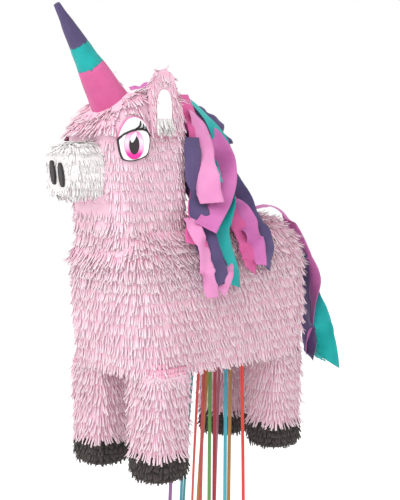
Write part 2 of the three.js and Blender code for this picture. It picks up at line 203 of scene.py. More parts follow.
def crepe(name, colour, dark, stretch=(260, 260, 900), strength=0.8):
    """Smooth crepe paper: fine wrinkles across the grain, and patches a shade darker."""
    material, tree, shader = new_material(name, 0.74, sheen=0.1)
    patches = stretched_noise(tree, (22, 22, 22), 2.0)
    mixed = colour_ramp(tree, patches, [(0.3, dark), (0.65, colour)])
    tree.links.new(mixed, shader.inputs["Base Color"])
    add_bump(tree, shader, stretched_noise(tree, stretch, 4.0), strength, 0.0008)
    return material


def plain_card(name, colour, dark, roughness=0.7):
    """Card or board: faint fibres and mottling."""
    material, tree, shader = new_material(name, roughness)
    mixed = colour_ramp(tree, stretched_noise(tree, (300, 300, 60)), [(0.35, dark), (0.7, colour)])
    tree.links.new(mixed, shader.inputs["Base Color"])
    add_bump(tree, shader, stretched_noise(tree, (900, 900, 900)), 0.15, 0.0003)
    return material


def satin(name, colour):
    """Woven satin ribbon: fine lengthwise ribs and a soft gloss."""
    material, tree, shader = new_material(name, 0.42, sheen=0.2, specular=0.5)
    dark = tuple(c * 0.72 for c in colour)
    mixed = colour_ramp(tree, stretched_noise(tree, (700, 700, 30)), [(0.3, dark), (0.7, colour)])
    tree.links.new(mixed, shader.inputs["Base Color"])
    add_bump(tree, shader, stretched_noise(tree, (2500, 2500, 2500), 1.0), 0.25, 0.0002)
    return material


# Each fringe runs from a root colour with painted shade, through the paper's own colour, to a tip colour with
# painted light.
pink_fringe = fringe_paper_painted_shade("pink_fringe", (0.82, 0.365, 0.505), (0.83, 0.55, 0.645), (0.84, 0.70, 0.745))
white_fringe = fringe_paper_painted_shade("white_fringe", (0.68, 0.665, 0.655), (0.735, 0.72, 0.71),
                            (0.765, 0.755, 0.745))
dark_fringe = fringe_paper_painted_shade("dark_fringe", (0.010, 0.007, 0.006), (0.030, 0.022, 0.020),
                           (0.070, 0.054, 0.050))
teal_crepe = crepe("teal_crepe", (0.006, 0.40, 0.38), (0.004, 0.28, 0.28))
purple_crepe = crepe("purple_crepe", (0.092, 0.066, 0.170), (0.060, 0.042, 0.12))
magenta_crepe = crepe("magenta_crepe", (0.66, 0.112, 0.32), (0.54, 0.085, 0.26))
orchid_crepe = crepe("orchid_crepe", (0.60, 0.17, 0.44), (0.46, 0.115, 0.34))
light_pink_crepe = crepe("light_pink_crepe", (0.68, 0.265, 0.49), (0.58, 0.205, 0.42))
card = plain_card("corrugated_card", (0.42, 0.27, 0.14), (0.34, 0.21, 0.10))
cotton = plain_card("cotton_cord", (0.80, 0.78, 0.72), (0.66, 0.64, 0.58), 0.9)
birch = plain_card("birch_dowel", (0.60, 0.42, 0.22), (0.48, 0.32, 0.15), 0.55)
pink_backing = crepe("pink_backing", (0.74, 0.49, 0.58), (0.66, 0.41, 0.50), strength=0.3)
white_backing = crepe("white_backing", (0.80, 0.78, 0.77), (0.70, 0.68, 0.67), strength=0.3)
dark_backing = crepe("dark_backing", (0.012, 0.009, 0.008), (0.006, 0.005, 0.004), strength=0.3)
print("materials:", len(bpy.data.materials))

# %% [markdown]
# ## Putting a piece in place
# Every finished piece rides on one of the frame's bodies, and says which frame node it stands for. A few small
# helpers keep that the same everywhere.

# %% Mesh helpers


def mesh_piece(name, points, faces, material, body, node=None):
    """A mesh made in code, at the origin, settled on its body."""
    mesh = bpy.data.meshes.new(name)
    mesh.from_pydata([tuple(p) for p in points], [], faces)
    mesh.materials.append(material)
    piece = bpy.data.objects.new(name, mesh)
    bpy.context.scene.collection.objects.link(piece)
    settle(piece, body, node)
    return piece


def settle(piece, body, node=None):
    """The piece rides on a body, and may stand for a node, which is then hidden."""
    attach(piece, body)
    if node:
        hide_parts(node)


def face_outwards():
    """Turns the faces of the active mesh outwards."""
    bpy.ops.object.mode_set(mode="EDIT")
    bpy.ops.mesh.select_all(action="SELECT")
    bpy.ops.mesh.normals_make_consistent(inside=False)
    bpy.ops.object.mode_set(mode="OBJECT")


def smooth(piece):
    """Smooth shading on every face."""
    piece.data.polygons.foreach_set("use_smooth", [True] * len(piece.data.polygons))


print("mesh helpers ready")

# %% [markdown]
# ## Routes
# Ribbons, streamers and the loop all follow a smooth route through a few points, with directions worked
# out at every step of it: along it, across it and out of the paper's face.

# %% Route helpers


def unit(rows):
    """Each row scaled to length one."""
    return rows / np.linalg.norm(rows, axis=-1, keepdims=True)


def turned(first, second, angle):
    """Two square rows of directions, turned together in their own plane."""
    cos, sin = np.cos(angle)[:, None], np.sin(angle)[:, None]
    return first * cos + second * sin, second * cos - first * sin


def across_route(route, sides):
    """Directions along a route, across it as near to sides as can be, and square to both."""
    along = unit(np.gradient(route, axis=0))
    side = unit(sides - (sides * along).sum(1)[:, None] * along)
    return along, side, np.cross(along, side)


def spline(a, b, c, d, t):
    """The Catmull-Rom curve from b to c, at t from 0 to 1."""
    return 0.5 * (2 * b + (c - a) * t + (2 * a - 5 * b + 4 * c - d) * t**2
                  + (3 * b - a - 3 * c + d) * t**3)


def smooth_route(points, count):
    """A Catmull-Rom curve through the points, at evenly spaced values of its parameter."""
    p = np.array(points, float)
    ends = np.vstack([2 * p[0] - p[1], p, 2 * p[-1] - p[-2]])
    out = []
    for s in np.linspace(0, len(p) - 1, count):
        i = min(int(s), len(p) - 2)
        out.append(spline(*ends[i:i + 4], s - i))
    return np.array(out)


def strip_mesh(path, sides, width, thick):
    """A closed flat strip of small thickness: its width runs along sides at each point of path."""
    along, side, out = across_route(path, sides)
    half, lift = side * width / 2, out * thick / 2
    rings = np.stack([path + half + lift, path - half + lift, path - half - lift, path + half - lift], 1)
    points = rings.reshape(-1, 3)
    faces = [[4 * i + (k + 1) % 4, 4 * i + k, 4 * i + 4 + k, 4 * i + 4 + (k + 1) % 4]
             for i in range(len(path) - 1) for k in range(4)]
    last = 4 * (len(path) - 1)
    faces += [[0, 1, 2, 3], [last + 3, last + 2, last + 1, last]]
    return points, faces


print("route helpers ready")

# %% [markdown]
# ## Pull ribbons
# Twelve satin ribbons hang from the trap door in three rows. Each is a flat strip along one route; the
# route repeats the frame's ribbon, so it leaves the door and spreads as it falls. A ribbon twists a
# little about its own middle line, which is what makes its width come and go from one view.

# %% Pull ribbons
RIBBON_WIDTH = 0.005
RIBBON_THICK = 0.0003
RIBBON_LENGTH = 0.380
RIBBON_STEPS = 64
LANE = 0.007  # from one ribbon's lane to the next
FAN = 0.3  # how much wider a row is at the ribbons' ends
ROW_GAP = 0.024
RIBBON_START = 0.0030  # a ribbon starts this much above its frame node, against the door
ROUTE_STOPS = (0, 0.04, 0.2, 0.45, 0.72, 1)
ROWS = ("ribbons_front", "ribbons_middle", "ribbons_rear")
ROW_Y = [middle("trap_door").y + offset for offset in (-ROW_GAP, 0.0, ROW_GAP)]
ribbon_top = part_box("trap_door")[0][2] - 0.004
SIDE_DRIFT, BACK_DRIFT = -0.008, -0.006
RIBBONS = (
    # name, row, lane, how far its end lies back, colour
    ("mauve", 0, -5.5, 0.002, (0.28, 0.12, 0.30)), ("cyan", 0, -2.5, -0.002, (0.03, 0.26, 0.36)),
    ("orange", 0, 0.5, -0.006, (0.62, 0.055, 0.035)), ("green", 0, 3.5, 0.004, (0.12, 0.28, 0.06)),
    ("teal", 1, -4.5, -0.004, (0.03, 0.30, 0.30)), ("pink", 1, -1.5, 0.006, (0.56, 0.075, 0.065)),
    ("dark_red", 1, 1.5, 0.008, (0.38, 0.016, 0.035)), ("light_blue", 1, 4.5, 0.002, (0.06, 0.40, 0.50)),
    ("ochre", 2, -3.5, -0.008, (0.50, 0.24, 0.045)), ("orchid", 2, -0.5, 0.002, (0.42, 0.14, 0.20)),
    ("dark_ochre", 2, 2.5, 0.004, (0.42, 0.20, 0.04)), ("red", 2, 5.5, 0.008, (0.72, 0.030, 0.025)),
)
for name, row, lane, drift, colour in RIBBONS:
    rng = np.random.default_rng(int(lane * 10) + 100)
    stops = [(lane * LANE, ROW_Y[row], ribbon_top + RIBBON_START)]
    for t in ROUTE_STOPS:
        spread = math.sin(t * math.pi / 2)
        x = lane * LANE * (1 + FAN * spread) + SIDE_DRIFT * spread
        stops.append((x, ROW_Y[row] + (drift + BACK_DRIFT) * spread, ribbon_top - RIBBON_LENGTH * t))
    route = smooth_route(stops, RIBBON_STEPS)
    twist = rng.uniform(-0.3, 0.3) + rng.uniform(-0.9, 0.9) * np.sin(
        np.linspace(0, rng.uniform(1.5, 4), RIBBON_STEPS))
    facing = AZIMUTH + twist
    sides = np.stack([np.cos(facing), np.sin(facing), 0 * facing], 1)
    points, faces = strip_mesh(route, sides, RIBBON_WIDTH, RIBBON_THICK)
    ribbon = mesh_piece(f"pull_ribbon_{name}", points, faces, satin(f"satin_{name}", colour), ROWS[row],
                        f"ribbon_{name}")
print("ribbons:", len(RIBBONS), "each", RIBBON_LENGTH, "m long")

# %% [markdown]
# ## One tab of fringe
# The paper is cut into tabs three to four millimetres wide that stay joined along the top, and the row is
# glued on under the row above. One tab is modelled here by hand and then repeated thousands of times,
# each copy with its own bend, so it has only a few faces: a thin strip with a slight fold down it.

# %% One tab
TAB_STEPS = 5
TAB_FLATNESS = 0.14

bpy.ops.object.select_all(action="DESELECT")
bpy.ops.mesh.primitive_cylinder_add(vertices=3, radius=0.5, depth=1.0, location=(0, 0, -0.5),
                                    end_fill_type="NGON")
tab = bpy.context.object
bpy.ops.object.mode_set(mode="EDIT")
bpy.ops.mesh.select_all(action="SELECT")
bpy.ops.transform.resize(value=(1.0, TAB_FLATNESS, 1.0))
bpy.ops.object.mode_set(mode="OBJECT")
cutter = bmesh.new()
cutter.from_mesh(tab.data)
for step in range(1, TAB_STEPS):
    bmesh.ops.bisect_plane(cutter, geom=cutter.verts[:] + cutter.edges[:] + cutter.faces[:],
                           plane_co=(0, 0, 0.5 - step / TAB_STEPS), plane_no=(0, 0, 1))
cutter.to_mesh(tab.data)
cutter.free()
tab_points = np.array([v.co[:] for v in tab.data.vertices])
tab_points[:, 2] -= tab_points[:, 2].max()
tab_faces = [list(f.vertices) for f in tab.data.polygons]
bpy.data.objects.remove(tab, do_unlink=True)
print("one tab:", len(tab_points), "points", len(tab_faces), "faces")

# %% [markdown]
# ## Growing rows of fringe on a form
# Rays are cast inwards at the frame's own skins, so the rows follow the real body. A row goes round a
# spine, a level line inside the form; over the top of a form the rays tilt upwards instead, and the rows
# close in on the middle of the back.

# %% Row helpers
RAYS_ROUND = 720
RAY_REACH = 0.4
ROW_BREAK = 0.02  # a wider step between two hits is a gap in the row
CORNER = 0.12  # length of row that each radian round an end of the spine counts for


def surface(*names):
    """A ray-casting tree over several nodes, with the node that owns each face."""
    points, faces, owners = [], [], []
    for name in names:
        mesh = nodes[name].data
        start = len(points)
        points += [v.co[:] for v in mesh.vertices]
        for polygon in mesh.polygons:
            faces.append([start + i for i in polygon.vertices])
            owners.append(name)
    return BVHTree.FromPolygons(points, faces), owners


def loop_round(spine_low, spine_high):
    """Origins and level directions of rays round a spine along Y, evenly spread by angle and length."""
    reach = spine_high - spine_low
    bend = math.pi * CORNER
    out = []
    for s in (np.arange(RAYS_ROUND) + 0.5) / RAYS_ROUND * (2 * reach + 2 * bend):
        if s < reach:
            out.append((spine_low + s, 0.0))
        elif s < reach + bend:
            out.append((spine_high, (s - reach) / CORNER))
        elif s < 2 * reach + bend:
            out.append((spine_high - (s - reach - bend), math.pi))
        else:
            out.append((spine_low, math.pi + (s - 2 * reach - bend) / CORNER))
    return out


def row_hits(tree, owners, wanted, rays, x, z, tilt):
    """Where one row's rays meet the wanted node, in order round the form: point, normal."""
    hits = []
    for y, angle in rays:
        level = Vector((math.cos(angle), math.sin(angle), 0))
        ray = level * math.cos(tilt) + Vector((0, 0, math.sin(tilt)))
        start = Vector((x, y, z)) + ray * RAY_REACH
        point, normal, face, _ = tree.ray_cast(start, -ray)
        hits.append((point, normal) if point is not None and owners[face] == wanted else None)
    return hits


def spaced(hits, pitch):
    """Tab places at an even pitch along the row, skipping its gaps."""
    out, left = [], 0.0
    for here, there in zip(hits, hits[1:] + hits[:1]):
        if here is None or there is None:
            continue
        step = (there[0] - here[0]).length
        if step > ROW_BREAK:
            continue
        while left < step:
            share = left / max(step, 1e-9)
            out.append((here[0].lerp(there[0], share), here[1].lerp(there[1], share)))
            left += pitch
        left -= step
    return out


print("rays round a form:", RAYS_ROUND)

# %% [markdown]
# ## Bending the tabs
# Every tab is the master tab, bent along an arc that leans out, with its own length, width, sway and roll.
# A tab that would cross a place where no fringe may lie is cut short, or left out if too little is left.

# %% Tab helpers
TRIM_STEPS = 5  # steps along a tab at which it is tested
SHORTEST_TAB = 0.15  # the least share of its length that is worth keeping
BEND_STEPS = 8


def trimmed(p, n, d, length, blocked):
    """The tabs that have room, moved past a blocked start, and the share of its length each keeps."""
    shares = np.linspace(0, 1, TRIM_STEPS + 1)
    closed = np.stack([blocked(p + d * length * share) for share in shares], 1)
    begin = np.argmin(closed, axis=1)
    after = closed & (np.arange(TRIM_STEPS + 1)[None, :] > begin[:, None])
    end = np.where(after.any(axis=1), np.argmax(after, axis=1) - 1, TRIM_STEPS)
    reach = (end - begin) / TRIM_STEPS
    kept = (reach > SHORTEST_TAB) & ~closed.all(axis=1)
    return (p + d * length * shares[begin][:, None])[kept], n[kept], d[kept], reach[kept]


def bend_tabs(places, downs, rng, length, width, lean, curl, jitter, blocked=None):
    """Master-tab copies at places, each a point and normal, with a fall direction for each."""
    p = np.array([q[0][:] for q in places])
    n = np.array([q[1].normalized()[:] for q in places])
    d = np.array([v[:] for v in downs])
    d = d - (d * n).sum(1)[:, None] * n
    d /= np.linalg.norm(d, axis=1)[:, None] + 1e-9
    reach = 1.0
    if blocked:
        p, n, d, reach = trimmed(p, n, d, length, blocked)
    count = len(p)
    d, side = turned(d, np.cross(d, n), rng.normal(0, jitter, count))
    size = length * rng.uniform(0.86, 1.10, count) * reach
    start = lean * rng.uniform(0.2, 1.5, count)
    arc = curl * rng.normal(1.0, 0.5, count)
    sway = rng.normal(0, 0.12, count)
    roll = rng.normal(0, 0.22, count)
    wide = width * rng.uniform(0.75, 1.2, count)
    t = -tab_points[:, 2]
    rise, fall, drift = np.zeros((3, count, len(t)))
    for k in range(BEND_STEPS):
        share = np.clip(t * BEND_STEPS - k, 0, 1)[None, :] / BEND_STEPS
        bend = start[:, None] + arc[:, None] * ((k + 0.5) / BEND_STEPS) ** 1.6
        rise += share * np.sin(bend)
        fall += share * np.cos(bend)
        drift += share * (sway[:, None] * (k + 0.5) / BEND_STEPS)
    taper = 1 - 0.2 * t**3
    turn = roll[:, None] * t[None, :]
    u = tab_points[:, 0] * taper
    w = tab_points[:, 1]
    across = (u * np.cos(turn) - w * np.sin(turn)) * wide[:, None]
    lift = (u * np.sin(turn) + w * np.cos(turn)) * wide[:, None]
    points = (p[:, None, :] + side[:, None, :] * (across + drift * size[:, None])[:, :, None]
              + n[:, None, :] * (lift + rise * size[:, None])[:, :, None]
              + d[:, None, :] * (fall * size[:, None])[:, :, None])
    along = np.tile(t, (count, 1))
    tone = np.repeat(rng.uniform(0, 1, count)[:, None], len(t), 1)
    return points.reshape(-1, 3), along.ravel(), tone.ravel()


print("tab helpers ready")

# %% [markdown]
# ## A fringed piece
# One piece holds all the rows of one part of the body, as a row is one strip of paper and thousands of
# separate objects would be slow. Each point keeps its tab's tone and how far down the tab it is.

# %% Fringe helpers
DOWN = Vector((0, 0, -1))
ROW_WANDER = 0.0012
GLUE_DEPTH = 0.001
OUTWARD_FALL = 1.2  # on a surface that faces up, tabs point this much outwards


def fringe_piece(name, batches, material, body="root"):
    """One object from batches of bent tabs."""
    points, along, tone = (np.concatenate(part) for part in zip(*batches))
    per = len(tab_points)
    count = len(points) // per
    corners = [c for f in tab_faces for c in f]
    sizes = [len(f) for f in tab_faces]
    mesh = bpy.data.meshes.new(name)
    mesh.vertices.add(len(points))
    mesh.vertices.foreach_set("co", points.ravel())
    all_corners = (np.array(corners)[None, :] + per * np.arange(count)[:, None]).ravel()
    all_sizes = np.tile(sizes, count)
    mesh.loops.add(len(all_corners))
    mesh.loops.foreach_set("vertex_index", all_corners.astype(np.int32))
    mesh.polygons.add(len(all_sizes))
    starts = np.concatenate([[0], np.cumsum(all_sizes)[:-1]])
    mesh.polygons.foreach_set("loop_start", starts.astype(np.int32))
    mesh.update(calc_edges=True)
    mesh.validate()
    for key, values in (("along", along), ("tone", tone)):
        mesh.attributes.new(key, "FLOAT", "POINT").data.foreach_set("value", values.astype(np.float32))
    mesh.materials.append(material)
    piece = bpy.data.objects.new(name, mesh)
    bpy.context.scene.collection.objects.link(piece)
    settle(piece, body)
    print(name, count, "tabs")


def wrap_in_fringe(skins, wanted, x, spine, levels, tilts, rng, pitch, tab_sizes, blocked=None):
    """Rows of tabs round a form, from the lowest level up and then over the top."""
    rays = loop_round(*spine)
    rows = [(z, 0.0) for z in levels] + [(levels[-1], tilt) for tilt in tilts]
    batches = []
    for z, tilt in rows:
        places = spaced(row_hits(*skins, wanted, rays, x, z, tilt), pitch)
        if not places:
            continue
        places = [(q[0] + Vector((0, 0, rng.normal(0, ROW_WANDER))) - q[1].normalized() * GLUE_DEPTH, q[1])
                  for q in places]
        downs = []
        for point, normal in places:
            outward = Vector((point.x - x, point.y - min(max(point.y, spine[0]), spine[1]), 0))
            outward = outward.normalized() if outward.length > 1e-6 else Vector((1, 0, 0))
            downs.append(DOWN + outward * max(0.0, normal.z) * OUTWARD_FALL)
        batches.append(bend_tabs(places, downs, rng, *tab_sizes, blocked))
    return batches


print("fringe helpers ready")

# %% [markdown]
# ## Where no fringe may lie
# The eyes, the horn, the muzzle, the ears and the filling flap are put on over or through the fringe.
# A tab that would cross one of them is cut short, as it is where the maker trims it.

# %% Keep-clear shapes
EYE_TURN = math.radians(8)
EYE_ACROSS, EYE_UP = 0.0245, 0.0275
HORN_FOOT = place(0, -141, 472)
HORN_LEAN = math.radians(35.6)
HORN_LENGTH = 0.143
HORN_RADIUS, HORN_TIP_RADIUS = 0.0262, 0.0034
horn_axis = np.array((0, -math.sin(HORN_LEAN), math.cos(HORN_LEAN)))


def in_box(points, node, grow=0.0):
    """Which points are in a node's box, grown all round."""
    low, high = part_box(node)
    return np.all((points > np.array(low) - grow) & (points < np.array(high) + grow), axis=1)


def eye_plane(sign):
    """Middle of one eye, and its directions backwards, up and outwards."""
    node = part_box("eye_left" if sign > 0 else "eye_right")
    centre = (np.array(node[0]) + np.array(node[1])) / 2
    back = np.array((sign * math.sin(EYE_TURN), math.cos(EYE_TURN), 0.0))
    out = np.array((sign * math.cos(EYE_TURN), -math.sin(EYE_TURN), 0.0))
    return centre, back, np.array((0.0, 0.0, 1.0)), out


def cone_radius(height):
    """The horn's radius at a height above its foot."""
    return HORN_RADIUS + (HORN_TIP_RADIUS - HORN_RADIUS) * height / HORN_LENGTH


def under_eye(points):
    """Behind either eye's card."""
    hit = np.zeros(len(points), bool)
    for sign in (1, -1):
        centre, back, up, out = eye_plane(sign)
        from_eye = points - centre
        across, rise = from_eye @ back / EYE_ACROSS, from_eye @ up / EYE_UP
        hit |= (across**2 + rise**2 < 0.92) & (np.abs(from_eye @ out) < 0.012)
    return hit


def under_horn(points):
    """Inside the horn or its foot."""
    from_foot = points - np.array(HORN_FOOT)
    height = from_foot @ horn_axis
    gap = np.linalg.norm(from_foot - height[:, None] * horn_axis, axis=1)
    return (height > -0.03) & (gap < cone_radius(height) + 0.0005)


def head_blocked(points):
    """Where the eyes, the horn, the muzzle and the ears sit on the head."""
    return (under_eye(points) | under_horn(points) | in_box(points, "muzzle_fringe", 0.0005)
            | in_box(points, "ear_left", 0.0015) | in_box(points, "ear_right", 0.0015))


def trunk_blocked(points):
    """Over the flap's swing, or in the small bare patch that the hanging loop swings in."""
    low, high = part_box("fill_flap")
    x, y, z = points.T
    on_flap = (x < 0) & (y > low[1] - 0.003) & (y < high[1] + 0.003) & (z > low[2]) & (z < high[2] + 0.009)
    loop_low, loop_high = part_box("hang_loop")
    loop_y = (loop_low[1] + loop_high[1]) / 2
    at_loop = (np.abs(x) < 0.016) & (np.abs(y - loop_y) < 0.020) & (z > loop_low[2] - 0.03)
    return on_flap | at_loop


body_skins = surface("trunk_fringe", "head_fringe", "muzzle_fringe", "fill_flap")
print("body skins:", len(body_skins[1]), "faces")

# %% [markdown]
# ## Fringe on the trunk and the filling flap
# The rows are laid from the bottom up, each one hiding the glued edge of the one below. The flap has its
# own rows, so that it opens without tearing the ones round it.

# %% Trunk fringe
ROW = 0.0135
PINK_TAB = (0.0195, 0.0038, 0.09, 0.46, 0.07)  # length, width, lean, curl, sideways jitter
TAB_PITCH = 0.00245
rng = np.random.default_rng(7)

CHEST_BACK_Y = -0.055
trunk_low, trunk_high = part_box("trunk_fringe")
spine = (trunk_low[1] + 0.075, trunk_high[1] - 0.085)
side_levels = np.arange(belly_z + 0.0155, belly_z + 0.128, ROW)
back_tilts = np.arange(0.14, 1.50, 0.145)

batches = wrap_in_fringe(body_skins, "trunk_fringe", 0.0, spine, side_levels, (), rng,
                         TAB_PITCH, PINK_TAB, trunk_blocked)
chest_levels = np.arange(side_levels[-1] + ROW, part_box("head_fringe")[0][2] + ROW, ROW)
batches += wrap_in_fringe(body_skins, "trunk_fringe", 0.0, spine, chest_levels, (), rng,
                          TAB_PITCH, PINK_TAB, lambda p: trunk_blocked(p) | (p[:, 1] > CHEST_BACK_Y))
fringe_piece("trunk_fringe_rows_side", batches, pink_fringe)
batches = wrap_in_fringe(body_skins, "trunk_fringe", 0.0, spine, side_levels[-1:], back_tilts, rng,
                         TAB_PITCH, PINK_TAB, trunk_blocked)
fringe_piece("trunk_fringe_rows_back", batches, pink_fringe)
flap_low, flap_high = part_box("fill_flap")
flap_levels = np.append(np.arange(flap_low[2] + 0.007, flap_high[2] - 0.006, ROW), flap_high[2] - 0.0012)
batches = wrap_in_fringe(body_skins, "fill_flap", 0.0, spine, flap_levels, (), rng, TAB_PITCH, PINK_TAB)
fringe_piece("flap_fringe_rows", batches, pink_fringe, "flap")

# %% [markdown]
# ## Fringe on the neck and head
# The same rows carry on up the neck. The tabs here lie a little flatter than on the body.

# %% Head fringe
HEAD_TAB = (0.0175, 0.0037, 0.06, 0.34, 0.06)
head_low, head_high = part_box("head_fringe")
head_spine = (head_low[1] + 0.040, head_high[1] - 0.030)
head_levels = np.arange(head_low[2] + 0.0015, crown_z - 0.034, 0.0125)
head_tilts = np.arange(0.22, 1.50, 0.24)
batches = wrap_in_fringe(body_skins, "head_fringe", 0.0, head_spine, head_levels, head_tilts, rng,
                         0.0023, HEAD_TAB, head_blocked)
fringe_piece("head_fringe_rows", batches, pink_fringe)

# %% [markdown]
# ## Fringe on the muzzle
# White rows go round the muzzle box, short at the front so that the nostrils stay clear.

# %% Muzzle fringe
muzzle_low, muzzle_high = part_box("muzzle_fringe")


def nostril_blocked(points):
    """Inside either nostril, as seen from the front."""
    hit = np.zeros(len(points), bool)
    for name in ("nostril_left", "nostril_right"):
        low, high = (np.array(corner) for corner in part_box(name))
        off = (points - (low + high) / 2) / ((high - low) / 2 + (0.0005, 0, 0.001))
        hit |= (off[:, 0]**2 + off[:, 2]**2 < 1) & (points[:, 1] < muzzle_low[1] + 0.01)
    return hit


muzzle_y = (muzzle_low[1] + muzzle_high[1]) / 2
MUZZLE_TAB = (0.0130, 0.0040, 0.05, 0.22, 0.12)
muzzle_levels = np.arange(muzzle_low[2] + 0.007, muzzle_high[2] - 0.008, 0.0090)
batches = wrap_in_fringe(body_skins, "muzzle_fringe", 0.0, (muzzle_y - 0.004, muzzle_y + 0.012),
                         muzzle_levels, (0.35, 0.75, 1.1, 1.4), rng, 0.0022, MUZZLE_TAB, nostril_blocked)
fringe_piece("muzzle_fringe_rows", batches, white_fringe)

# %% [markdown]
# ## Fringe on the legs and hooves
# Each leg is a tube dressed with the same rows, and each hoof with short rows of near-black crepe.
# Three more rows above a leg's own top close the gap under the belly's hem.

# %% Leg and hoof fringe
LEGS = ("front_left", "front_right", "rear_left", "rear_right")
LEG_TAB = (0.0200, 0.0038, 0.13, 0.60, 0.10)
HOOF_TAB = (0.0110, 0.0036, 0.06, 0.40, 0.18)
LEG_PITCH = 0.0024
for leg in LEGS:
    leg_skins = surface(f"leg_fringe_{leg}", f"hoof_{leg}")
    at = middle(f"hoof_{leg}")
    leg_levels = np.arange(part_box(f"leg_fringe_{leg}")[0][2] + 0.012, belly_z - 0.001, ROW)
    core = (at.y - 0.002, at.y + 0.002)
    batches = wrap_in_fringe(leg_skins, f"leg_fringe_{leg}", at.x, core, leg_levels, (), rng, LEG_PITCH,
                             LEG_TAB)
    top_hits = spaced(row_hits(*leg_skins, f"leg_fringe_{leg}", loop_round(*core), at.x, belly_z - 0.002,
                               0.0),
                      LEG_PITCH)
    for lift in (0.006, 0.012, 0.018):
        shoulder = [(q[0] + Vector((0, 0, lift)) - q[1] * lift * 0.35, q[1]) for q in top_hits]
        batches.append(bend_tabs(shoulder, [DOWN] * len(shoulder), rng, *LEG_TAB))
    fringe_piece(f"leg_fringe_rows_{leg}", batches, pink_fringe)
    hoof_levels = np.arange(sole_z + 0.011, sole_z + 0.036, 0.0080)
    batches = wrap_in_fringe(leg_skins, f"hoof_{leg}", at.x, core, hoof_levels, (), rng, LEG_PITCH, HOOF_TAB)
    fringe_piece(f"hoof_fringe_rows_{leg}", batches, dark_fringe)

# %% [markdown]
# ## Ears
# An ear is a padded card arch standing against the side of the head, fringed in pink down both faces, with
# a smooth white lining glued on the outside. Rays cast across the card find where its tabs go.

# %% Ears
EAR_TAB = (0.0150, 0.0032, 0.10, 0.40, 0.14)
EAR_EDGE_TAB = (0.0095, 0.0034, 0.15, 0.5, 0.25)
for side, sign in (("left", 1), ("right", -1)):
    ear_tree, ear_owners = surface(f"ear_{side}", f"ear_lining_{side}")
    low, high = (np.array(corner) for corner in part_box(f"ear_{side}"))
    batches = []
    for rise in np.arange(0.010, high[2] - low[2], 0.0095):
        for facing in (sign, -sign):
            if facing != sign and low[2] + rise < crown_z - 0.012:
                continue
            places = []
            for y in np.arange(low[1] + 0.001, high[1], 0.0024):
                start = Vector((facing * 0.2 if facing == sign else 0.0, y + rng.normal(0, 0.0003),
                                low[2] + rise + rng.normal(0, 0.001)))
                point, normal, face, _ = ear_tree.ray_cast(start, Vector((-facing, 0, 0)))
                if point is not None and ear_owners[face] == f"ear_{side}" and abs(normal.x) > 0.5:
                    places.append((point - normal * 0.0006, normal))
            if places:
                batches.append(bend_tabs(places, [DOWN] * len(places), rng, *EAR_TAB,
                                         lambda p: in_box(p, f"ear_lining_{side}",
                                                          0.0025) & (facing == sign)))
    edge = []
    outline = sorted({(round(v.co.y, 5), round(v.co.z, 5)) for v in nodes[f"ear_{side}"].data.vertices})
    centre_y = (low[1] + high[1]) / 2
    ring = sorted(outline, key=lambda q: math.atan2(q[1] - low[2] - 0.03, q[0] - centre_y))
    for here, there in zip(ring, ring[1:] + ring[:1]):
        if min(here[1], there[1]) < low[2] + 0.004:
            continue
        away = Vector((0, there[1] - here[1], here[0] - there[0])).normalized()
        if away.dot(Vector((0, (here[0] + there[0]) / 2 - centre_y,
                            (here[1] + there[1]) / 2 - low[2] - 0.03))) < 0:
            away = -away
        steps = max(1, int(math.dist(here, there) / 0.0026))
        for k in range(steps):
            share = k / steps
            for x in (0.25, 0.75):
                edge.append((Vector((low[0] + (high[0] - low[0]) * x, here[0] + (there[0] - here[0]) * share,
                                     here[1] + (there[1] - here[1]) * share)) - away * 0.001, away))
    downs = [DOWN * 0.6 + Vector((0, math.copysign(0.8, q[0].y - centre_y), 0)) + q[1] * 0.4 for q in edge]
    batches.append(bend_tabs(edge, downs, rng, *EAR_EDGE_TAB))
    fringe_piece(f"ear_fringe_rows_{side}", batches, pink_fringe)

# %% [markdown]
# ## Ear lining
# A smooth white arch of folded crepe. It starts as a disc, is pulled into the arch in edit mode, given its
# thickness by extruding, and rounded along its edges by a bevel.

# %% Ear lining


def cut_shape(name, outline, centre, across, up, out, lift, thick, material, node=None, soften=0.0,
              body="root"):
    """A flat shape cut to an outline of (across, up) millimetres, standing lift off its centre."""
    bpy.ops.object.select_all(action="DESELECT")
    bpy.ops.mesh.primitive_circle_add(vertices=len(outline), radius=0.02, fill_type="NGON",
                                      location=(0, 0, 0))
    piece = bpy.context.object
    piece.name = name
    centre, across, up, out = (Vector(v) for v in (centre, across, up, out))
    for vertex, (u, v) in zip(piece.data.vertices, outline):
        vertex.co = centre + across * (u * MM) + up * (v * MM) + out * lift
    bpy.ops.object.mode_set(mode="EDIT")
    bpy.ops.mesh.select_all(action="SELECT")
    bpy.ops.mesh.extrude_region_move(TRANSFORM_OT_translate={"value": tuple(out * thick)})
    bpy.ops.mesh.select_all(action="SELECT")
    bpy.ops.mesh.normals_make_consistent(inside=False)
    bpy.ops.object.mode_set(mode="OBJECT")
    if soften:
        bevel = piece.modifiers.new("soft edge", "BEVEL")
        bevel.width = soften
        bevel.segments = 3
        bpy.ops.object.modifier_apply(modifier=bevel.name)
    piece.data.materials.append(material)
    settle(piece, body, node)
    return piece


def rounded(points, count=48):
    """A closed smooth outline through a few points."""
    p = np.array(points, float)
    out = []
    for s in np.arange(count) / count * len(p):
        i, t = int(s), s - int(s)
        a, b, c, d = (p[(i + k) % len(p)] for k in (-1, 0, 1, 2))
        out.append(spline(a, b, c, d, t))
    return out


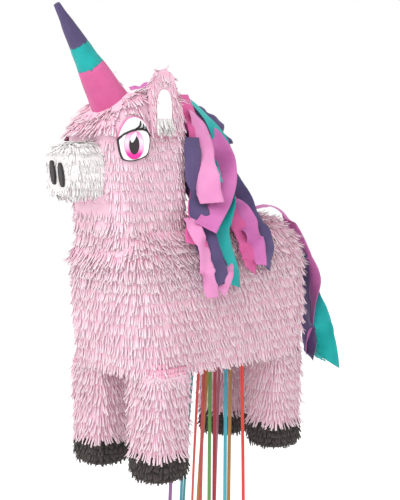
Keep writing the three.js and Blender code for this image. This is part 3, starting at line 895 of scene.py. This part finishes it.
lining_paper = crepe("lining_crepe", (0.82, 0.76, 0.76), (0.76, 0.69, 0.70), (500, 500, 120), 0.6)
LINING = [(-10, 9), (10, 9), (12, 18), (12.4, 31), (11, 43), (6, 52), (0, 54), (-6, 52), (-11, 43),
          (-12.4, 31),
          (-12, 18)]
LINING_TAB = (0.0150, 0.0034, 0.14, 0.5, 0.14)
for side, sign in (("left", 1), ("right", -1)):
    low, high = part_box(f"ear_lining_{side}")
    foot = ((low[0] + high[0]) / 2, (low[1] + high[1]) / 2, low[2])
    cut_shape(f"ear_lining_{side}_crepe", rounded(LINING), foot, (0, 1, 0), (0, 0, 1), (sign, 0, 0), -0.0002,
              0.0016, lining_paper, f"ear_lining_{side}", 0.0006)
    batches = []
    for rise in (0.008, 0.013, 0.018):
        places = [(Vector((foot[0] + sign * 0.0010, y, foot[2] + rise)), Vector((sign, 0, 0)))
                  for y in np.arange(foot[1] - 0.012, foot[1] + 0.0121, 0.0024)]
        batches.append(bend_tabs(places, [DOWN] * len(places), rng, *LINING_TAB))
    fringe_piece(f"ear_lining_tabs_{side}", batches, white_fringe)
print("ear linings:", len(LINING), "outline points each")

# %% [markdown]
# ## Eyes
# Each eye is a card cut-out printed in layers. Every printed area is a thin shape of its own, stacked a
# quarter of a millimetre apart, so that the edges stay crisp from any distance. Both eyes use one set of
# outlines, because the directions of each eye's plane already mirror them.

# %% Eye layers


def flat_print(name, colour, roughness=0.35):
    """Printed card: even colour with a faint paper grain and a satin varnish."""
    material, tree, shader = new_material(name, roughness, specular=0.45)
    grain = colour_ramp(tree, stretched_noise(tree, (1500, 1500, 1500)),
                        [(0.3, tuple(c * 0.94 for c in colour)), (0.7, colour)])
    tree.links.new(grain, shader.inputs["Base Color"])
    add_bump(tree, shader, stretched_noise(tree, (2500, 2500, 2500)), 0.05, 0.0001)
    return material


eye_centre_z = middle("eye_left").z
iris_print, tree, shader = new_material("iris_print", 0.3, specular=0.45)
height = tree.nodes.new("ShaderNodeSeparateXYZ")
tree.links.new(tree.nodes.new("ShaderNodeTexCoord").outputs["Object"], height.inputs["Vector"])
share = node_of(tree, "ShaderNodeMapRange")
share.inputs["From Min"].default_value = eye_centre_z - 0.025
share.inputs["From Max"].default_value = eye_centre_z + 0.011
tree.links.new(height.outputs["Z"], share.inputs["Value"])
tree.links.new(colour_ramp(tree, share.outputs["Result"], [
    (0.0, (0.74, 0.010, 0.26)), (0.20, (0.78, 0.03, 0.33)), (0.38, (0.90, 0.42, 0.62)),
    (0.62, (0.93, 0.66, 0.77)),
    (0.86, (0.88, 0.30, 0.52)), (1.0, (0.84, 0.10, 0.36))]), shader.inputs["Base Color"])
add_bump(tree, shader, stretched_noise(tree, (2500, 2500, 2500)), 0.05, 0.0001)

print_black = flat_print("print_black", (0.022, 0.018, 0.020))
print_grey = flat_print("print_grey", (0.36, 0.34, 0.36))
print_white = flat_print("print_white", (0.90, 0.89, 0.90))
print_pink = flat_print("print_pink", (0.78, 0.20, 0.43))

SOCKET = [(-23, 1), (-22.2, -9), (-19.8, -18.5), (-15, -25.6), (-4.3, -27.2), (6, -25.6), (15.6, -21.8),
          (20, -18),
          (22.4, -10.5), (23.6, -1), (22, 6), (18.2, 10.2), (12, 12), (4.3, 11.8), (-4.3, 9.8), (-15, 5.6)]
DOME = [(-23.4, 0.5), (-20.9, 7.6), (-15.8, 17.2), (-8.8, 24.4), (1, 27.2), (10.4, 24.8), (18, 18.5),
        (22.6, 10.2),
        (24, 4), (22, 0), (0, -4), (-20, -2)]


def oval(across, up, half_across, half_up, top=99.0):
    """Outline of an oval cut off level with the lid line at top."""
    turns = np.linspace(0, 2 * math.pi, 48, endpoint=False)
    return [(across + half_across * math.cos(t), min(up + half_up * math.sin(t), top)) for t in turns]


def shrunk(outline, by):
    """The outline drawn in towards its middle by a few millimetres."""
    p = np.array(rounded(outline))
    middle_point = p.mean(0)
    away = p - middle_point
    far = np.linalg.norm(away, axis=1)[:, None]
    return list(middle_point + away * (1 - by / far))


LASHES = ([(3, 11), (8, 14), (10.2, 17.6), (8.8, 22.4), (7.9, 17.8), (5.2, 14.6), (2, 13)],
          [(10.2, 11), (14.4, 13.4), (14.2, 16), (13.2, 19), (12.6, 15), (9.6, 13)],
          [(15.4, 10), (19, 11), (17.8, 13.6), (16.8, 16.4), (16.4, 13)],
          [(-23.6, 0.4), (-15, 6.6), (-4.3, 10.9), (4.3, 13.2), (12, 13.6), (19, 11.4), (24.4, 3.4), (22, 5),
           (17.8, 9),
           (12, 10.6), (4.3, 10.2), (-4.3, 8.4), (-15, 4.2), (-23, -2)])
EYE_LAYERS = [
    ("lid_edge", rounded(DOME), 0, print_pink), ("lid", shrunk(DOME, 1.1), 1, print_white),
    ("outline", rounded(SOCKET), 2, print_black), ("white", shrunk(SOCKET, 1.5), 3, print_white),
    ("iris_rim", oval(-0.4, -7, 14.6, 18.2, 9.0), 4, print_grey),
    ("iris", oval(-0.4, -7, 14.0, 17.6, 9.0), 5, iris_print),
    ("pupil", oval(-0.5, -7.2, 7.4, 11.6), 6, print_black),
    ("highlight", rounded([(1.8, 8.2), (-3.4, 4.8), (-6.2, -0.8), (-3.6, -4.4), (0.4, 0), (2.4, 5)]), 7,
     print_white),
] + [(f"lash_{k}", rounded(points) if k < 4 else points, 6, print_black) for k,
     points in enumerate(LASHES, 1)]
EYE_STEP = 0.00025

for side, sign in (("left", 1), ("right", -1)):
    centre, back, up, out = eye_plane(sign)
    for layer, outline, level, finish in EYE_LAYERS:
        cut_shape(f"eye_{side}_{layer}", outline, centre, back, up, out, -0.0004, 0.0024 + level * EYE_STEP,
                  finish,
                  f"eye_{side}" if layer == "lid_edge" else None)
print("eye layers:", len(EYE_LAYERS))

# %% [markdown]
# ## Nostrils
# Two slim dark card ovals are glued to the front of the muzzle, over its fringe, leaning a little.

# %% Nostrils
lean = math.radians(11)
for side, sign in (("left", 1), ("right", -1)):
    spot = middle(f"nostril_{side}")
    outline = [(u * math.cos(lean) - v * math.sin(lean), u * math.sin(lean) + v * math.cos(lean))
               for u, v in oval(0, -1.5 * sign, 4.2, 15.0)]
    cut_shape(f"nostril_{side}_card", outline, spot, (1, 0, 0), (0, 0, 1), (0, -1, 0), 0.0, 0.0036,
              print_black,
              f"nostril_{side}", 0.0004)
print("nostrils: 2")

# %% [markdown]
# ## Horn
# Three bands of crepe are wound round a card cone. Each band is an open cone with many rings, pushed in and out
# into slanting wrinkles; the first two are given the paper's thickness with Solidify, and the last one closes over
# the tip.

# %% Horn bands
horn_pink = crepe("horn_pink_crepe", (0.55, 0.100, 0.265), (0.43, 0.070, 0.20))
horn_teal = crepe("horn_teal_crepe", (0.004, 0.325, 0.31), (0.003, 0.24, 0.235))
horn_purple = crepe("horn_purple_crepe", (0.076, 0.056, 0.140), (0.052, 0.038, 0.10))
HORN_BANDS = (("pink", -0.024, 0.0572, 0.0006, horn_pink), ("teal", 0.0560, 0.0887, 0.0004, horn_teal),
              ("purple", 0.0875, 0.1430, 0.0008, horn_purple))
HORN_SIDES, HORN_RINGS = 64, 14
turn_horn = Matrix.Translation(HORN_FOOT) @ Matrix.Rotation(HORN_LEAN, 4, "X")
for colour, low, high, proud, finish in HORN_BANDS:
    radius = [cone_radius(h) - 0.0008 + proud for h in (low, high)]
    bpy.ops.object.select_all(action="DESELECT")
    bpy.ops.mesh.primitive_cone_add(vertices=HORN_SIDES, radius1=radius[0], radius2=radius[1],
                                    depth=high - low,
                                    location=(0, 0, 0), end_fill_type="NOTHING")
    band = bpy.context.object
    band.name = f"horn_band_{colour}"
    bpy.ops.object.mode_set(mode="EDIT")
    for ring in range(1, HORN_RINGS):
        bpy.ops.mesh.select_all(action="SELECT")
        bpy.ops.mesh.bisect(plane_co=(0, 0, (ring / HORN_RINGS - 0.5) * (high - low)), plane_no=(0, 0, 1))
    if colour == "purple":
        bpy.ops.mesh.select_all(action="DESELECT")
        bpy.ops.object.mode_set(mode="OBJECT")
        for vertex in band.data.vertices:
            vertex.select = vertex.co.z > (high - low) / 2 - 1e-6
        bpy.ops.object.mode_set(mode="EDIT")
        bpy.ops.mesh.select_mode(type="VERT")
        bpy.ops.mesh.edge_face_add()
        bpy.ops.mesh.poke()
    bpy.ops.mesh.select_all(action="SELECT")
    bpy.ops.mesh.normals_make_consistent(inside=False)
    bpy.ops.object.mode_set(mode="OBJECT")
    for vertex in band.data.vertices:
        x, y, z = vertex.co
        angle, height = math.atan2(y, x), z / (high - low) + 0.5
        fold = (0.00022 * math.sin(9 * angle + 5 * height) + 0.00026 * math.sin(4 * angle - 9 * height + low * 300)
                + 0.00018 * math.sin(17 * angle + 3 * math.sin(6 * height)))
        far = math.hypot(x, y)
        if far > 1e-6:
            vertex.co.x, vertex.co.y = x * (1 + fold / far), y * (1 + fold / far)
        vertex.co.z += (low + high) / 2
        if low < 0 and height < 0.02:
            vertex.co.z += 0.0015 * math.sin(3 * angle)
    band.data.transform(turn_horn)
    if colour != "purple":
        paper = band.modifiers.new("paper", "SOLIDIFY")
        paper.thickness = 0.0006
        paper.offset = -1
        bpy.ops.object.modifier_apply(modifier=paper.name)
    band.data.materials.append(finish)
    smooth(band)
    settle(band, "root", f"horn_wrap_{colour}")
    print(band.name, len(band.data.polygons), "faces")

# %% [markdown]
# ## Mane and tail
# The mane and tail are strips of crepe paper about 28 mm wide, glued along the crown and the rump and left
# to fall. Paper of this kind keeps every crease, so each strip is made from its route: a middle line, the
# way its width points at either end, a twist that turns facets to the light, and an end cut aslant.

# %% Strip helper
STRIP_WIDTH = 0.028
PAPER = 0.0004
STRIP_STEPS, STRIP_LANES = 56, 8


def even_route(points, count):
    """The smooth route through the points, with its steps all the same length."""
    dense = smooth_route(points, 400)
    far = np.concatenate([[0], np.cumsum(np.linalg.norm(np.diff(dense, axis=0), axis=1))])
    return np.stack([np.interp(np.linspace(0, far[-1], count), far, dense[:, k]) for k in range(3)],
                    1), far[-1]


def stand_off(points, gap):
    """Points nearer to the body than the gap are moved out along its surface normal."""
    moved = points.copy()
    for i, p in enumerate(points):
        near, normal, _, _ = body_skins[0].find_nearest(Vector(p), 0.05)
        if near is not None:
            rise = (Vector(p) - near).dot(normal)
            if rise < gap:
                moved[i] = np.array(Vector(p) + normal * (gap - rise))
    return moved


def eased(push, reach=5):
    """The largest push nearby, the same right across the strip, so that its cut edges stay straight."""
    window = [(k, k + len(push)) for k in range(2 * reach + 1)]
    ends = ((reach, reach), (0, 0))
    size = np.pad(np.linalg.norm(push, axis=2).max(axis=1, keepdims=True), ends, mode="edge")
    most = np.max([size[a:b] for a, b in window], axis=0)
    most = np.mean([np.pad(most, ends, mode="edge")[a:b] for a, b in window], axis=0)
    total = np.pad(push.sum(axis=1), ends, mode="edge")
    heading = np.sum([total[a:b] for a, b in window], axis=0)
    heading /= np.linalg.norm(heading, axis=1)[:, None] + 1e-9
    return (most * heading)[:, None, :]


def paper_skin(grid):
    """Points and faces of a closed sheet of paper laid along a grid of points."""
    down = np.gradient(grid, axis=0)
    over = np.gradient(grid, axis=1)
    out = np.cross(down, over)
    out /= np.linalg.norm(out, axis=2)[:, :, None] + 1e-12
    top, bottom = grid + out * PAPER / 2, grid - out * PAPER / 2
    n, m = grid.shape[:2]
    points = np.concatenate([top.reshape(-1, 3), bottom.reshape(-1, 3)])
    faces = []
    for i in range(n - 1):
        for j in range(m - 1):
            a, b, c, d = i * m + j, i * m + j + 1, (i + 1) * m + j + 1, (i + 1) * m + j
            faces.append([a, d, c, b])
            faces.append([a + n * m, b + n * m, c + n * m, d + n * m])
    rim = [(0, j) for j in range(m)] + [(i, m - 1) for i in range(1, n)] + [(n - 1, j) for j in range(m - 2,
                                                                                                      -1, -1)]
    rim += [(i, 0) for i in range(n - 2, 0, -1)]
    for (i, j), (k, l) in zip(rim, rim[1:] + rim[:1]):
        a, b = i * m + j, k * m + l
        faces.append([a, b, b + n * m, a + n * m])
    return points, faces


def crepe_strip(name, stops, widths, turns, finish, slot, node=None, width=STRIP_WIDTH, gap=0.004, seed=1,
                twist=0.35, cut=0.3, wave=0.0009):
    """One strip. turns are the directions of its width at the top, the middle and the end."""
    rng = np.random.default_rng(seed)
    route, length = even_route([place(*stop) for stop in stops], STRIP_STEPS)
    t = np.linspace(0, 1, STRIP_STEPS)
    knots = np.linspace(0, 1, len(turns))
    sides = np.stack([np.interp(t, knots, [turn[k] for turn in turns]) for k in range(3)], 1)
    along, side, face = across_route(route, sides)
    folds = np.linspace(0, 1, 6) + np.append(0, np.append(rng.uniform(-0.07, 0.07, 4), 0))
    turns_at_folds = 1.6 * twist * rng.uniform(-1.2, 1.2, 6) * (0, 1, 1, 1, 1, 0.8)
    soft = np.interp(t, np.sort(folds), np.arange(6.0))
    soft = np.floor(soft) + np.clip((soft % 1 - 0.5) * 2.6 + 0.5, 0, 1)
    angle = np.interp(soft, np.arange(6.0), turns_at_folds)
    side, face = turned(side, face, angle)
    s = np.linspace(-1, 1, STRIP_LANES + 1)
    reach = np.interp(t, np.linspace(0, 1, len(widths)), widths) * width / 2
    crease = rng.uniform(-0.5, 0.5)
    ridge = (1 - np.abs(s - crease)) * wave * 1.6
    ruffle = wave * np.abs(s) * np.sin(t[:, None] * rng.uniform(26, 36) + s * 1.3 + rng.uniform(0, 6))
    billow = wave * 1.4 * np.sin(t[:, None] * rng.uniform(9, 13) + s[None, :] * 2.0 + rng.uniform(0, 6))
    height = (ridge[None, :] * np.sin(t * 9 + seed)[:, None] + ruffle + billow) * np.minimum(1,
                                                                                             t * 8 + 0.15)[:,
                                                                                                           None]
    slide = np.maximum(0, (t - 0.85) / 0.15)[:, None] * cut * s[None, :] * reach[:, None]
    grid = (route[:, None, :] + side[:, None, :] * (s[None, :] * reach[:, None])[:, :, None]
            + face[:, None, :] * height[:, :, None] + along[:, None, :] * slide[:, :, None])
    grid = grid + eased(stand_off(grid.reshape(-1, 3), gap).reshape(grid.shape) - grid)
    points, faces = paper_skin(grid)
    piece = mesh_piece(name, points, faces, finish, "root", node)
    bpy.ops.object.select_all(action="DESELECT")
    piece.select_set(True)
    bpy.context.view_layer.objects.active = piece
    face_outwards()
    smooth(piece)
    print(name, round(length * 1000), "mm long")


print("strips:", STRIP_STEPS, "steps long,", STRIP_LANES, "lanes wide")

# %% [markdown]
# ## Mane
# The mane is rooted along the crown and the nape and falls to the left. The strips are listed from the
# innermost to the outermost, and each stands a little further off the body than the ones it covers.

# %% Mane
CREPES = {"teal": (teal_crepe, "teal_crepe"), "purple": (purple_crepe, "purple_crepe"),
          "orchid": (orchid_crepe, "orchid_crepe"), "light_pink": (light_pink_crepe, "light_pink_crepe"),
          "magenta": (magenta_crepe, "magenta_crepe")}
FLANK = (0, 1, 0)  # a strip lying flat on the side of the neck
SLANT = (0.75, 0.66, 0)  # facing the front left
CROWN = (-0.7, 0.6, 0.4)  # lying over the top of the head
EDGE_ON = (0.7, -0.7, 0.1)
MANE = [
    # name, colour, route, widths, turns, extra
    ("mane_back_purple", "purple", [(20, 20, 440), (24, 31, 405), (36, 42, 373), (50, 51, 345), (66, 53, 315),
                                    (80, 54, 288), (88, 55, 258)], (0.9, 1, 1), (CROWN, SLANT, FLANK),
     dict(node="mane_orchid", seed=3, twist=0.3, gap=0.007)),
    ("mane_nape_orchid", "orchid", [(14, -52, 468), (22, -34, 440), (28, -12, 405), (38, 4, 370),
                                    (48, 10, 338)],
     (0.7, 1, 1), (CROWN, SLANT, FLANK), dict(seed=41, twist=0.3, gap=0.008)),
    ("mane_nape_teal", "teal", [(10, -50, 446), (22, -40, 415), (26, -16, 385), (34, 0, 355), (46, 8, 336)],
     (0.7, 1, 1), (CROWN, SLANT, FLANK), dict(seed=43, twist=0.3, gap=0.008)),
    ("mane_nape_magenta", "magenta", [(16, -50, 420), (24, -40, 395), (32, -24, 365), (44, -10, 342)],
     (0.8, 1, 1), (CROWN, SLANT, FLANK), dict(seed=45, twist=0.3, gap=0.008)),
    ("mane_nape_purple", "purple", [(26, -50, 440), (34, -48, 405), (40, -44, 370), (50, -40, 338)],
     (0.8, 1, 1), (SLANT, SLANT, FLANK), dict(seed=47, twist=0.3, gap=0.008)),
    ("mane_shadow_magenta", "magenta", [(22, -47, 484), (38, -46, 448), (46, -47, 405), (52, -49, 371),
                                        (62, -59, 334),
                                        (84, -72, 296)], (0.8, 1, 1), (FLANK, FLANK, FLANK),
     dict(seed=5, twist=0.25, gap=0.006)),
    ("mane_dusty_magenta", "magenta", [(40, 20, 345), (54, 21, 322), (68, 23, 298), (84, 23, 275),
                                       (90, 20, 258)],
     (1, 1.1, 1.1), (SLANT, FLANK, FLANK), dict(seed=6, twist=0.2, gap=0.0105)),
    ("mane_crown_teal", "teal", [(6, -34, 489), (16, -17, 480), (28, -5, 464), (40, 5, 442), (50, 17, 405),
                                 (54, 20, 375), (62, 4, 346), (76, -25, 322), (85, -22, 293), (90, -13, 266),
                                 (93, -12, 240)], (0.7, 0.9, 0.8, 0.5, 1, 1.2, 0.9, 0.8),
     (CROWN, CROWN, SLANT, EDGE_ON, SLANT, FLANK, FLANK),
     dict(node="mane_teal", seed=8, twist=0.2, gap=0.009)),
    ("mane_crown_purple", "purple", [(4, -8, 478), (16, 6, 464), (28, 20, 446), (36, 27, 424)], (0.8, 1, 0.8),
     (CROWN, CROWN, SLANT), dict(node="mane_purple", seed=9, twist=0.25, gap=0.009)),
    ("mane_side_purple", "purple", [(51, -57, 432), (57, -57, 385), (63, -51, 355), (75, -59, 330),
                                    (88, -59, 297),
                                    (95, -49, 269), (97, -37, 245)], (0.9, 1, 1.1, 0.8),
     (FLANK, FLANK, SLANT, FLANK), dict(node="mane_violet", seed=11, twist=0.10, gap=0.005)),
    ("mane_right_orchid", "orchid", [(44, 12, 366), (56, 26, 338), (70, 33, 314), (86, 35, 292),
                                     (94, 38, 264)],
     (0.7, 1, 0.9, 0.6), (SLANT, SLANT, FLANK), dict(seed=13, twist=0.25, gap=0.010)),
    ("mane_long_orchid", "orchid", [(16, -28, 474), (30, -14, 453), (44, 0, 428), (52, 11, 400), (62, 2, 371),
                                    (77, -26, 345), (93, -66, 318)], (0.6, 0.9, 1.1, 1, 1, 1.1),
     (CROWN, SLANT, SLANT, SLANT, FLANK), dict(seed=15, twist=0.22, gap=0.009, cut=0.1)),
    ("mane_front_pink", "light_pink", [(34, -43, 468), (47, -35, 443), (56, -35, 419), (62, -43, 397),
                                       (72, -43, 371), (81, -42, 348)], (0.5, 0.8, 0.9, 1.2, 1.1),
     (CROWN, SLANT, SLANT, SLANT), dict(node="mane_pink", seed=17, twist=0.14, gap=0.012, cut=0.2)),
    ("mane_small_teal", "teal", [(50, -29, 417), (58, -22, 397), (67, -13, 374)], (0.4, 0.7, 0.3),
     (SLANT, SLANT, FLANK), dict(width=0.026, seed=19, twist=0.2, gap=0.010)),
    ("mane_left_magenta", "light_pink", [(70, -73, 330), (84, -73, 312), (92, -68, 291), (96, -68, 270),
                                         (98, -64, 250), (98, -58, 229)], (0.8, 0.7, 0.9, 0.7),
     (FLANK, FLANK, SLANT, FLANK), dict(node="mane_magenta", width=0.024, seed=21, twist=0.4, gap=0.007)),
    ("mane_low_pink", "light_pink", [(88, -20, 278), (94, -32, 256), (98, -46, 236)], (0.6, 1, 0.9),
     (FLANK, SLANT, FLANK), dict(width=0.022, seed=23, twist=0.1, gap=0.011)),
]
for name, colour, stops, widths, turns, extra in MANE:
    crepe_strip(name, stops, widths, turns, *CREPES[colour], **extra)

# %% [markdown]
# ## Forelock and tail
# One short strip is folded behind the horn. The tail is glued along the rump's ridge, runs over it and
# hangs behind, its outer strip cut to a long slant.

# %% Forelock and tail
ACROSS = (0.86, -0.5, 0)
TAIL = [
    ("crown_forelock", "orchid", [(14, -122, 489), (20, -106, 494), (24, -88, 495), (22, -66, 491),
                                  (18, -48, 484)],
     (0.3, 0.7, 0.8), ((0.8, 0.2, -0.5), (0.8, 0.3, -0.5), CROWN),
     dict(width=0.022, seed=25, gap=0.004, twist=0.2)),
    ("tail_long_orchid", "orchid", [(36, 82, 336), (26, 112, 337), (20, 142, 331), (20, 170, 314),
                                    (24, 192, 286),
                                    (38, 204, 255), (40, 214, 228), (30, 221, 193), (20, 226, 155),
                                    (14, 230, 108)],
     (0.6, 0.8, 0.8, 1, 1, 0.9), ((0.9, 0.3, 0), ACROSS, ACROSS, ACROSS),
     dict(node="tail_orchid", seed=27, twist=0.3,
                                                                               gap=0.010)),
    ("tail_dark_purple", "purple", [(26, 196, 278), (28, 202, 250), (28, 208, 210), (26, 216, 168),
                                    (22, 226, 138), (16, 233, 106)], (0.8, 1, 1, 0.9),
                                    (ACROSS, ACROSS, ACROSS),
     dict(node="tail_purple", seed=29, twist=0.3, gap=0.008)),
    ("tail_outer_teal", "teal", [(24, 203, 268), (26, 209, 250), (31, 224, 215), (32, 235, 183),
                                 (33, 245, 152), (34, 253, 122), (34, 259, 96)],
     (0.7, 0.7, 0.8, 0.9, 1.1, 1.2, 1.1), (ACROSS, ACROSS, (0.75, 0.66, 0), (0.75, 0.66, 0)),
     dict(node="tail_teal", seed=31, twist=0.2, gap=0.008, cut=0.9)),
    ("tail_curl_teal", "teal", [(30, 226, 150), (27, 237, 124), (24, 246, 105), (29, 254, 97)],
     (0.6, 0.7, 0.5),
     (ACROSS, ACROSS, ACROSS), dict(width=0.026, seed=33, twist=0.2, gap=0.009)),
]
for name, colour, stops, widths, turns, extra in TAIL:
    crepe_strip(name, stops, widths, turns, *CREPES[colour], **extra)

# %% [markdown]
# ## Hanging loop
# The loop is a twisted cotton cord. Three strands wind round one route, which is the way such a cord is laid up,
# and it goes back into the object at both ends.

# %% Hanging loop
LOOP_LOW, LOOP_HIGH = (Vector(corner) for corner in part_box("hang_loop"))
LOOP_CORD = 0.003
LOOP_RINGS, STRAND_SIDES = 90, 8
TURN_LENGTH = 0.009  # of cord, for one full turn of its strands
WIND_RADIUS, STRAND_RADIUS = 0.00072, 0.00078
loop_half = (LOOP_HIGH.x - LOOP_LOW.x - LOOP_CORD) / 2
loop_rise = LOOP_HIGH.z - LOOP_CORD / 2 - LOOP_LOW.z
loop_y = (LOOP_LOW.y + LOOP_HIGH.y) / 2
loop_stops = [(u * loop_half, loop_y, LOOP_LOW.z + v * loop_rise)
              for u, v in ((-1, 0), (-1, 0.45), (-0.75, 0.83), (0, 1), (0.75, 0.83), (1, 0.45), (1, 0))]
loop_route, loop_length = even_route(loop_stops, LOOP_RINGS)
along = unit(np.gradient(loop_route, axis=0))
sideways = np.tile((0.0, 1.0, 0.0), (LOOP_RINGS, 1))
inward = np.cross(along, sideways)
points, faces = [], []
for strand in range(3):
    wind = np.linspace(0, loop_length / TURN_LENGTH * 2 * math.pi, LOOP_RINGS) + strand * 2 * math.pi / 3
    core = loop_route + WIND_RADIUS * (sideways * np.cos(wind)[:, None] + inward * np.sin(wind)[:, None])
    start = len(points)
    for ring in range(LOOP_RINGS):
        for k in range(STRAND_SIDES):
            turn = k * 2 * math.pi / STRAND_SIDES
            outward = sideways[ring] * math.cos(turn) + inward[ring] * math.sin(turn)
            points.append(core[ring] + STRAND_RADIUS * outward)
    for ring in range(start, start + (LOOP_RINGS - 1) * STRAND_SIDES, STRAND_SIDES):
        for k in range(STRAND_SIDES):
            a, b = ring + k, ring + (k + 1) % STRAND_SIDES
            faces.append([a, b, b + STRAND_SIDES, a + STRAND_SIDES])
    faces += [list(range(start, start + STRAND_SIDES))[::-1],
              list(range(len(points) - STRAND_SIDES, len(points)))]
loop = mesh_piece("hang_loop_cord", points, faces, cotton, "loop", "hang_loop")
smooth(loop)
print("loop:", round(loop_length * 1000), "mm of cord")

# %% [markdown]
# ## Tape on the trap door
# Each row of ribbons is held to the door's underside by a strip of paper tape with rounded corners.

# %% Door tape
masking = plain_card("paper_tape", (0.72, 0.62, 0.42), (0.62, 0.52, 0.34), 0.6)
door_low, door_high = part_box("trap_door")
TAPE = [(-42, -4.5), (42, -4.5), (42, 4.5), (-42, 4.5)]
for row, y in zip(ROWS, ROW_Y):
    cut_shape(f"door_tape_{row}", TAPE, (0, y, door_low[2]), (1, 0, 0), (0, 1, 0), (0, 0, -1), -0.0002,
              0.0008, masking,
              None, 0.0002, "door")
print("tape strips:", len(ROWS))

# %% [markdown]
# ## Finishes of the frame's own nodes
# The backing skins, the card body, the trap door and the dowel already have the right shape, so they stay
# as they are and only get their paper, card and wood.

# %% Finishes of the nodes that stay in sight
KEEP = {
    "trunk_fringe": pink_backing, "head_fringe": pink_backing, "fill_flap": pink_backing,
    "muzzle_fringe": white_backing, "trap_door": card, "loop_dowel": birch,
    "horn_cone": card, "muzzle_box": card, "ear_left": pink_backing, "ear_right": pink_backing,
}
for leg in LEGS:
    KEEP[f"leg_fringe_{leg}"] = pink_backing
    KEEP[f"hoof_{leg}"] = dark_backing
    KEEP[f"leg_tube_{leg}"] = card
for name in ("left_side", "right_side", "belly_panel", "chest_face_strip", "crown_panel", "nape_back_strip",
             "rump_strip"):
    KEEP[name] = card
for name, finish in KEEP.items():
    nodes[name].data.materials.clear()
    nodes[name].data.materials.append(finish)
print("finished nodes:", len(KEEP))

# %% [markdown]
# ## Floor and light
# A pale floor, a white surround and two large soft lights show the paper's relief without hard shadows.

# %% Floor and lights
bpy.ops.object.select_all(action="DESELECT")
bpy.ops.mesh.primitive_plane_add(size=8, location=(0, 0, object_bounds()[0][2] - 0.002))
floor = bpy.context.object
floor.name = "studio_floor"
paper_white, tree, shader = new_material("studio_white", 0.9)
shader.inputs["Base Color"].default_value = (0.90, 0.90, 0.90, 1)
shader.inputs["Emission Color"].default_value = (1, 1, 1, 1)
shader.inputs["Emission Strength"].default_value = 0.30
floor.data.materials.append(paper_white)

world = bpy.data.worlds.new("studio")
bpy.context.scene.world = world
world.use_nodes = True
world.node_tree.nodes["Background"].inputs["Color"].default_value = (1, 1, 1, 1)
world.node_tree.nodes["Background"].inputs["Strength"].default_value = 1.0
bpy.context.scene.view_settings.view_transform = "Standard"


def soft_light(name, location, target, size, power):
    """A round area light aimed at a target."""
    bpy.ops.object.light_add(type="AREA", location=location)
    light = bpy.context.object
    light.name = name
    light.data.shape = "DISK"
    light.data.size = size
    light.data.energy = power
    light.rotation_euler = (Vector(target) - Vector(location)).to_track_quat("-Z", "Y").to_euler()


aim = (0, 0, (sole_z + crown_z) / 2)
soft_light("key_light", (0.45, -1.15, 0.70), (0, -0.15, 0.0), 1.5, 14)
soft_light("fill_light", (-1.6, -1.2, 0.6), aim, 1.4, 4)
print("floor and 2 lights")
